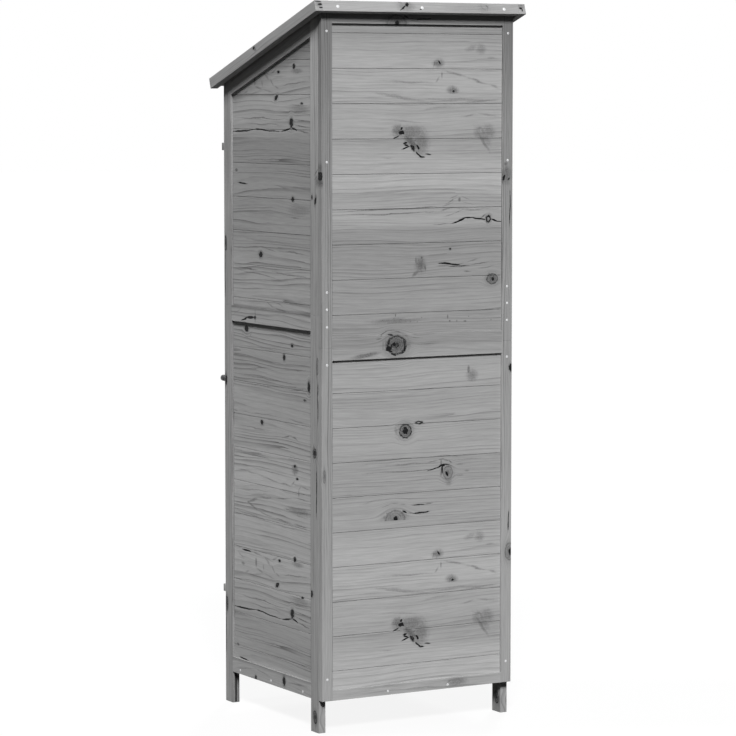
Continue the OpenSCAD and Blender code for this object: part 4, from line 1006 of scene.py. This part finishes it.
class SHED_OT_posts(bpy.types.Operator):
    """Model the four posts, each in two lengths that meet on a dowel"""

    bl_idname = "shed.posts"
    bl_label = "Posts"

    def execute(self, context):
        sizes = context.scene.shed_sizes
        for end, groove in (("front", Y), ("rear", -Y)):
            for side in ("left", "right"):
                for part in ("lower", "upper"):
                    node = f"{end}_post_{side}_{part}"
                    post = upright(node, sizes, groove, sloped=part == "upper")
                    finish(post, node, "Fir_glazed_posts")
                    self.darken_groove(post, sizes, groove)
        pegs = frame["nodes"]["post_dowels"]
        pegs.data.materials.clear()
        pegs.data.materials.append(bpy.data.materials["Fir_bare_lengthways"])
        return {"FINISHED"}

    def darken_groove(self, post, sizes, groove):
        """Gives the walls and the floor of a post's groove a dark colour of painted shade."""
        post.data.materials.append(bpy.data.materials["Fir_groove_painted_shade"])
        low, high = corners(post)
        mouth = max(low.dot(groove), high.dot(groove))
        rim, slack = 0.001, 0.0004
        for face in post.data.polygons:
            depth = mouth - face.center.dot(groove)
            aside = abs(face.center.x - (low.x + high.x) / 2)
            if rim < depth < sizes.groove_d + slack and aside < sizes.groove_w / 2 + slack:
                face.material_index = 1


class SHED_OT_sides(bpy.types.Operator):
    """Model the rails and the boards of the two side panels"""

    bl_idname = "shed.sides"
    bl_label = "Side Panels"

    def execute(self, context):
        sizes = context.scene.shed_sizes
        up = roof_up(sizes)
        for side in ("left", "right"):
            wood = f"Fir_glazed_{side}_side"
            node = f"side_{side}_bottom_rail"
            finish(rail(node, sizes, 1, (Z,)), node, "Fir_glazed_side_bottom_rail")
            node = f"side_{side}_mid_rail"
            finish(rail(node, sizes, 1, (-Z, Z)), node, wood)
            node = f"side_{side}_top_rail"
            top_rail = rail(node, sizes, 1, (-up,), slope_top=True, slope_low=True)
            finish(top_rail, node, "Fir_glazed_side_top_rail")
            node = f"side_{side}_lower_boards"
            finish(boards(node, sizes, 1, sizes.lower_joint), node, wood)
            node = f"side_{side}_upper_boards"
            finish(boards(node, sizes, 1, sizes.side_joint, sloped=True), node, wood)
        return {"FINISHED"}


class SHED_OT_back(bpy.types.Operator):
    """Model the stiles, the rails and the boards of the two back panels"""

    bl_idname = "shed.back"
    bl_label = "Back Panels"

    def execute(self, context):
        sizes = context.scene.shed_sizes
        for side, groove in (("left", X), ("right", -X)):
            for part in ("lower", "upper"):
                node = f"back_{side}_{part}_stile"
                stile = upright(node, sizes, groove, sloped=part == "upper")
                finish(stile, node, "Fir_glazed_stiles")
        wood = "Fir_glazed_back_boards"
        for node, grooves, sloped in (
            ("back_bottom_rail", (Z,), False),
            ("back_lower_top_rail", (-Z,), False),
            ("back_upper_bottom_rail", (Z,), False),
            ("back_top_rail", (-Z,), True),
        ):
            look = "Fir_glazed_back_bottom_rail" if node == "back_bottom_rail" else wood
            finish(rail(node, sizes, 0, grooves, slope_top=sloped), node, look)
        for part, joint in (("lower", sizes.lower_joint), ("upper", sizes.back_joint)):
            node = f"back_{part}_boards"
            finish(boards(node, sizes, 0, joint), node, wood)
        return {"FINISHED"}


class SHED_OT_inside(bpy.types.Operator):
    """Model the front rails, the floor and the slatted shelves"""

    bl_idname = "shed.inside"
    bl_label = "Floor and Shelves"

    def execute(self, context):
        sizes = context.scene.shed_sizes
        for node, sloped in (("front_bottom_rail", False), ("front_top_rail", True)):
            low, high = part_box(node)
            bar = block(low, high)
            if sloped:
                cut(bar, (0, high.y, high.z), roof_up(sizes))
            round_edges(bar, sizes.arris)
            finish(bar, node, "Fir_glazed_door_boards")
        for node, count, gap in (
            ("floor_boards", sizes.floor_count, sizes.board_gap),
            ("shelf_lower", sizes.shelf_count, sizes.shelf_gap),
            ("shelf_middle", sizes.shelf_count, sizes.shelf_gap),
            ("shelf_upper", sizes.shelf_count, sizes.shelf_gap),
        ):
            low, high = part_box(node)
            width = (high.y - low.y - (count - 1) * gap) / count
            board = block(low, (high.x, low.y + width, high.z))
            round_edges(board, 2 * sizes.arris, 3)
            row(board, count, (0, width + gap, 0))
            finish(board, node, "Fir_bare_across")
        low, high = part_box("floor_bearers")
        side = high.z - low.z
        rear = high.y - side
        bearers = [
            block((x, low.y, low.z), (x + side, rear - sizes.board_gap, high.z)) for x in (low.x, high.x - side)
        ]
        bearers.append(block((low.x, rear, low.z), high))
        low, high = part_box("shelf_battens")
        battens = []
        for shelf in ("shelf_lower", "shelf_middle", "shelf_upper"):
            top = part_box(shelf)[0].z
            battens += [block((x, low.y, top - side), (x + side, high.y, top)) for x in (low.x, high.x - side)]
        for node, bars in (("floor_bearers", bearers), ("shelf_battens", battens)):
            for bar in bars:
                round_edges(bar, sizes.arris)
            finish(join(bars), node, "Fir_bare_lengthways")
        return {"FINISHED"}


def on_roof(obj, sizes):
    """Moves a piece from the roof's own frame onto the shed."""
    obj.data.transform(Matrix.Translation(roof_corner(sizes)) @ Matrix.Rotation(sizes.slope, 4, "X"))
    return obj


def roof_box(node, sizes):
    """The corners of a CAD node in the roof's own frame."""
    back = Matrix.Rotation(-sizes.slope, 4, "X") @ Matrix.Translation(-roof_corner(sizes))
    points = np.array([back @ v.co for v in frame["nodes"][node].data.vertices])
    return Vector(points.min(0)), Vector(points.max(0))


class SHED_OT_roof(bpy.types.Operator):
    """Model the deck, the felt and the fascia"""

    bl_idname = "shed.roof"
    bl_label = "Roof"

    def execute(self, context):
        sizes = context.scene.shed_sizes
        for side, wood in (("left", "side"), ("right", "side"), ("back", "back"), ("front", "back")):
            node = f"roof_{side}_fascia"
            bar = block(*roof_box(node, sizes))
            round_edges(bar, sizes.arris)
            finish(on_roof(bar, sizes), node, f"Fir_glazed_{wood}_fascia")
            if wood == "side":
                bar.data.materials.append(bpy.data.materials["Fir_glazed_fascia_ends"])
                for face in bar.data.polygons:
                    face.material_index = int(face.normal.y > 0.6)
        low, high = roof_box("roof_deck_boards", sizes)
        width = (high.y - low.y - (sizes.deck_count - 1) * sizes.board_gap) / sizes.deck_count
        board = block(low, (high.x, low.y + width, high.z))
        round_edges(board, sizes.board_bevel)
        row(board, sizes.deck_count, (0, width + sizes.board_gap, 0))
        finish(on_roof(board, sizes), "roof_deck_boards", "Fir_bare_across")
        finish(on_roof(self.felt(sizes), sizes), "roof_felt", "Roofing_felt_mineral")
        return {"FINISHED"}

    def felt(self, sizes):
        """Two lengths of felt that overlap at mid slope, each turned up against the fascia on three sides."""
        low, high = roof_box("roof_felt", sizes)
        middle, half_lap = (low.y + high.y) / 2, 0.025
        seam = low.z + 0.55 * (high.z - low.z)
        rim, rise = 0.0025, 0.006
        lower = block(low, (high.x, middle + half_lap, seam))
        upper = block((low.x, middle - half_lap, seam), high)
        for sheet, end in ((lower, -Y), (upper, Y)):
            rims = [(turn, max(v.co.dot(turn) for v in sheet.data.vertices) - rim) for turn in (X, -X, end)]
            with editing(sheet):
                for turn, reach in rims:
                    bpy.ops.mesh.select_all(action="SELECT")
                    bpy.ops.mesh.bisect(plane_co=turn * reach, plane_no=turn)
                pick_faces(sheet, lambda c, n: n.z > 0.99 and any(c.dot(turn) > reach for turn, reach in rims))
                bpy.ops.mesh.extrude_region_move(TRANSFORM_OT_translate={"value": (0, 0, rise)})
            round_edges(sheet, sizes.arris)
        return join([lower, upper])


class SHED_OT_door(bpy.types.Operator):
    """Model the ledged door: stiles, rails and boards"""

    bl_idname = "shed.door"
    bl_label = "Door"

    def execute(self, context):
        sizes = context.scene.shed_sizes
        for node, groove in (("door_left_stile", X), ("door_right_stile", -X)):
            finish(upright(node, sizes, groove), node, "Fir_glazed_stiles")
        wood = "Fir_glazed_door_boards"
        for node, grooves in (("door_bottom_rail", (Z,)), ("door_mid_rail", (-Z, Z)), ("door_top_rail", (-Z,))):
            finish(rail(node, sizes, 0, grooves), node, wood)
        for node, joint in (("door_lower_boards", sizes.lower_joint), ("door_upper_boards", sizes.side_joint)):
            finish(boards(node, sizes, 0, joint), node, wood)
        return {"FINISHED"}


class SHED_OT_hinges(bpy.types.Operator):
    """Model the three butt hinges with their pins"""

    bl_idname = "shed.hinges"
    bl_label = "Hinges"

    def execute(self, context):
        pin_low, pin_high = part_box("hinge_pins")
        post_low, post_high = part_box("hinge_post_leaves")
        door_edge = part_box("hinge_door_leaves")[1].x
        x, y = (pin_low.x + pin_high.x) / 2, (pin_low.y + pin_high.y) / 2
        radius, face = y - post_low.y, post_high.y
        height, thick, gap, ease = 0.064, 0.0015, 0.0003, 0.0003
        third = height / 3
        sets = {"hinge_post_leaves": [], "hinge_door_leaves": []}
        for node, way, edge, barrels in (
            ("hinge_post_leaves", -1, post_low.x, ((0, third - gap), (2 * third + gap, height))),
            ("hinge_door_leaves", 1, door_edge, ((third, 2 * third),)),
        ):
            # A flat leaf, and for each barrel a bridge that joins them, clear of the pin
            leaf_end, bridge_start, bridge_end = (x + way * out for out in (radius + 0.0004, 0.0018, radius + 0.0009))
            leaf = self.plate(edge, leaf_end, face - thick, face, 0, height)
            self.round_corners(leaf, edge)
            round_edges(leaf, ease)
            sets[node].append(leaf)
            for z0, z1 in barrels:
                sets[node].append(self.plate(bridge_start, bridge_end, face - thick, face - gap, z0, z1))
                barrel = turned([(z0, radius), (z1, radius)], at=(x, y))
                round_edges(barrel, ease)
                sets[node].append(barrel)
        pin_r, head_r, crown_r = 0.0015, 0.0023, 0.0014
        pin = turned(
            [
                (0, 0.8 * pin_r), (0.0004, pin_r), (height, pin_r), (height, head_r), (height + 0.0007, head_r),
                (height + 0.0012, crown_r),
            ],
            sides=20, at=(x, y),
        )
        shade(pin)
        sets["hinge_pins"] = [pin]
        starts = [post_low.z, (post_low.z + post_high.z - height) / 2, post_high.z - height]
        for node, parts in sets.items():
            one = join(parts)
            copies = [copy_to(one, Matrix.Translation((0, 0, z))) for z in starts[1:]]
            one.data.transform(Matrix.Translation((0, 0, starts[0])))
            finish(join([one, *copies]), node, "Steel_black_powder_coat")
        return {"FINISHED"}

    def plate(self, x0, x1, y0, y1, z0, z1):
        """A bar between two ends in either order."""
        return block((min(x0, x1), y0, z0), (max(x0, x1), y1, z1))

    def round_corners(self, leaf, edge):
        """Rounds the two outer corners of a leaf."""
        near, corner_r = 1e-4, 0.004
        with editing(leaf, "EDGE"):
            pick_edges(
                leaf,
                lambda a, b: abs(a.y - b.y) > 0.001 and abs(a.x - edge) < near and abs(b.x - edge) < near,
            )
            bpy.ops.mesh.bevel(offset=corner_r, segments=6, affect="EDGES")


class SHED_OT_catches(bpy.types.Operator):
    """Model the turn buttons, the latch and the door pull"""

    bl_idname = "shed.catches"
    bl_label = "Catches"

    def execute(self, context):
        near, ease = 0.001, 0.0016
        sink, sink_r = 0.0015, 0.00305
        screws = [top for top, *_ in fasteners("frame_screws")]
        for node in ("turn_button_upper", "turn_button_lower"):
            low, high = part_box(node)
            middle = (low.z + high.z) / 2
            pivots = [top for top in screws if abs(top.y - low.y) < near and abs(top.z - middle) < near]
            if len(pivots) != 1:
                raise RuntimeError(f"{node} has {len(pivots)} pivot screws")
            button = block(low, high)
            round_edges(button, ease, 3)
            # Sink for the screw's head, cut from a little before the button's face
            bore = turned([(0, sink_r), (0.004, sink_r)], sides=28)
            bore.data.transform(Matrix.Translation(pivots[0] + Y * sink) @ FORWARD)
            carve(button, bore)
            finish(button, node, "Fir_glazed_stiles")
        self.tongue()
        self.knob("latch_knob", 0.0031, 0.0025)
        self.knob("door_pull", 0.0, 0.0016)
        return {"FINISHED"}

    def tongue(self):
        """A flat bar with round ends, bent from black steel."""
        low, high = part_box("latch_tongue")
        bar = block(low, high)
        with editing(bar, "EDGE"):
            pick_edges(bar, lambda a, b: abs(a.y - b.y) > 0.001)
            almost_half = (high.x - low.x) / 2 * 0.999
            bpy.ops.mesh.bevel(offset=almost_half, segments=12, affect="EDGES")
            bpy.ops.mesh.select_all(action="SELECT")
            bpy.ops.mesh.remove_doubles(threshold=1e-5)
        round_edges(bar, 0.0004)
        finish(bar, "latch_tongue", "Steel_black_powder_coat")

    def knob(self, node, start, shank_r):
        """A turned knob on a rose that begins a little before the post's face, with its shank behind it."""
        low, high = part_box(node)
        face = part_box("front_post_right_lower")[0].y
        reach, radius = face - low.y, (high.x - low.x) / 2
        grip, edge = start + (reach - start) * 0.45, radius * 0.42
        knob = turned(
            [
                (start, radius * 0.8), (start + 0.0012, radius * 0.8), (start + 0.0018, radius * 0.55),
                (grip - 0.003, radius * 0.62), (grip - 0.0015, radius * 0.8), (grip, radius * 0.97),
                (grip + 0.0012, radius), (reach - edge, radius), (reach - 0.0006, radius - edge * 0.9),
                (reach, radius - edge),
            ],
            sides=36,
        )
        shank = turned([(face - high.y, shank_r), (start, shank_r)], sides=24)
        piece = join([knob, shank])
        piece.data.transform(Matrix.Translation(((low.x + high.x) / 2, face, (low.z + high.z) / 2)) @ FORWARD)
        round_edges(piece, 0.0003)
        finish(piece, node, "Steel_black_powder_coat")


class SHED_OT_fasteners(bpy.types.Operator):
    """Model one screw and one nail and put one wherever the frame has one"""

    bl_idname = "shed.fasteners"
    bl_label = "Screws and Nails"

    def execute(self, context):
        for node, metal, slot, proud in (
            ("frame_screws", "Steel_zinc_plated", "zinc_screw", 0.0006),
            ("hinge_door_screws", "Steel_black_powder_coat", "black_steel", 0.0),
        ):
            copies, models = [], {}
            for top, way, length, head in fasteners(node):
                kind = (round(length, 4), round(head, 4))
                if kind not in models:
                    model = self.nail if head > 0.0035 else self.screw
                    models[kind] = model(length, head, proud)
                turn = Z.rotation_difference(way).to_matrix().to_4x4()
                copies.append(copy_to(models[kind], Matrix.Translation(top) @ turn))
            for model in models.values():
                bpy.data.objects.remove(model)
            finish(join(copies), node, metal)
        return {"FINISHED"}

    def screw(self, length, head, proud):
        """A countersunk screw with a cross recess, its head raised where it stands proud. The seat is at z = 0."""
        shank_r, neck = 0.0016, -0.0014
        blade, half = 0.0017, 0.0004
        top = [(neck, head), (-0.0004, head), (0, head * 0.7)]
        if proud:
            top = [
                (neck, head * 0.8), (-0.0002, head), (proud * 0.3, head), (proud * 0.8, head * 0.72),
                (proud, head * 0.3),
            ]
        body = turned([(-length, 0.0004), (-length + 0.004, shank_r), (neck, shank_r), *top], sides=16)
        for x, y in ((blade, half), (half, blade)):
            carve(body, block((-x, -y, -0.0009), (x, y, 0.002)))
        shade(body)
        return body

    def nail(self, length, head, proud):
        """A clout nail with a broad, slightly domed head. The seat of the head is at z = 0."""
        shank_r, neck = 0.0012, -0.001
        body = turned(
            [
                (-length, 0.0003), (-length + 0.003, shank_r), (neck, shank_r), (neck, head * 0.96), (-0.0006, head),
                (proud * 0.4, head), (proud * 0.85, head * 0.75), (proud, head * 0.35),
            ],
            sides=20,
        )
        shade(body)
        return body


class SHED_OT_stage(bpy.types.Operator):
    """Set the floor, the lamps, the room and the camera"""

    bl_idname = "shed.stage"
    bl_label = "Stage"

    def execute(self, context):
        stage, scene = context.scene.shed_stage, context.scene
        bpy.ops.object.select_all(action="DESELECT")
        bpy.ops.mesh.primitive_circle_add(vertices=96, radius=60, fill_type="NGON")
        floor = context.object
        floor.name = "floor"
        tree, shader = new_material("Floor_white_vinyl")
        # Grey to the eye, for a soft shadow, but darker to the light, so that little comes back up
        tree.links.new(self.seen(tree, 0.02, 0.08), shader.inputs["Base Color"])
        shader.inputs["Roughness"].default_value = 1.0
        shader.inputs["Specular IOR Level"].default_value = 0.0
        glow = add(tree, "ShaderNodeEmission", {"Color": (1, 1, 1, 1), "Strength": self.seen(tree, 0.0, 0.89)})
        both = add(tree, "ShaderNodeAddShader", {0: shader.outputs[0], 1: glow})
        out = next(n for n in tree.nodes if n.type == "OUTPUT_MATERIAL")
        tree.links.new(both, out.inputs["Surface"])
        floor.data.materials.append(bpy.data.materials["Floor_white_vinyl"])
        for name, way, strength, soft in (
            ("back_lamp", (0.55, 1.0, 1.05), stage.back_lamp, 14),
            ("side_lamp", (0.6, -0.3, 1.2), stage.side_lamp, 6),
            ("front_lamp", (-0.7, -0.8, 0.45), stage.front_lamp, 12),
        ):
            bpy.ops.object.light_add(type="SUN", location=Vector(way) * 5)
            lamp = context.object
            lamp.name = name
            lamp.data.energy = strength
            lamp.data.angle = math.radians(soft)
            lamp.rotation_mode = "QUATERNION"
            lamp.rotation_quaternion = Vector(way).to_track_quat("Z", "Y")
        world = bpy.data.worlds.new("Room")
        world.use_nodes = True
        scene.world = world
        backdrop = world.node_tree.nodes["Background"]
        backdrop.inputs["Color"].default_value = (1, 1, 1, 1)
        world.node_tree.links.new(self.seen(world.node_tree, stage.room, 1.0), backdrop.inputs["Strength"])
        bpy.ops.object.camera_add(location=stage.camera_place)
        camera = context.object
        level = math.cos(stage.elevation)
        back = Vector(
            (math.sin(stage.azimuth) * level, -math.cos(stage.azimuth) * level, math.sin(stage.elevation))
        )
        camera.rotation_mode = "QUATERNION"
        camera.rotation_quaternion = (-back).to_track_quat("-Z", "Y")
        camera.data.lens = stage.lens
        camera.data.sensor_width = 36
        camera.data.clip_start, camera.data.clip_end = 0.1, 200
        scene.camera = camera
        scene.view_settings.view_transform = "Standard"
        return {"FINISHED"}

    def seen(self, tree, other, direct):
        """A strength that is one value where the camera, a gloss or a glass looks, and another for the light."""
        path = tree.nodes.new("ShaderNodeLightPath").outputs
        rays = add(tree, "ShaderNodeMath", {0: path["Is Camera Ray"], 1: path["Is Glossy Ray"]}, operation="MAXIMUM")
        rays = add(tree, "ShaderNodeMath", {0: rays, 1: path["Is Transmission Ray"]}, operation="MAXIMUM")
        return add(tree, "ShaderNodeMapRange", {"Value": rays, "To Min": other, "To Max": direct})


class SHED_PT_panel(bpy.types.Panel):
    """Lists the steps that build the shed's looks"""

    bl_label = "Garden Shed"
    bl_idname = "SHED_PT_panel"
    bl_space_type = "VIEW_3D"
    bl_region_type = "UI"
    bl_category = "Shed"

    def draw(self, context):
        for step in STEPS:
            self.layout.operator(step.bl_idname)
        for group in (context.scene.shed_sizes, context.scene.shed_finish, context.scene.shed_stage):
            box = self.layout.box()
            for key in group.__annotations__:
                box.prop(group, key)


STEPS = (
    SHED_OT_finishes, SHED_OT_posts, SHED_OT_sides, SHED_OT_back, SHED_OT_inside, SHED_OT_roof, SHED_OT_door,
    SHED_OT_hinges, SHED_OT_catches, SHED_OT_fasteners, SHED_OT_stage,
)
CLASSES = (ShedSizes, ShedFinish, ShedStage, *STEPS, SHED_PT_panel)


def register():
    for cls in CLASSES:
        bpy.utils.register_class(cls)
    bpy.types.Scene.shed_sizes = PointerProperty(type=ShedSizes)
    bpy.types.Scene.shed_finish = PointerProperty(type=ShedFinish)
    bpy.types.Scene.shed_stage = PointerProperty(type=ShedStage)


def unregister():
    del bpy.types.Scene.shed_stage, bpy.types.Scene.shed_finish, bpy.types.Scene.shed_sizes
    for cls in reversed(CLASSES):
        bpy.utils.unregister_class(cls)


def main():
    register()
    bpy.ops.shed.finishes()
    bpy.ops.shed.posts()
    bpy.ops.shed.sides()
    bpy.ops.shed.back()
    bpy.ops.shed.inside()
    bpy.ops.shed.roof()
    bpy.ops.shed.door()
    bpy.ops.shed.hinges()
    bpy.ops.shed.catches()
    bpy.ops.shed.fasteners()
    bpy.ops.shed.stage()


if __name__ == "__main__":
    main()
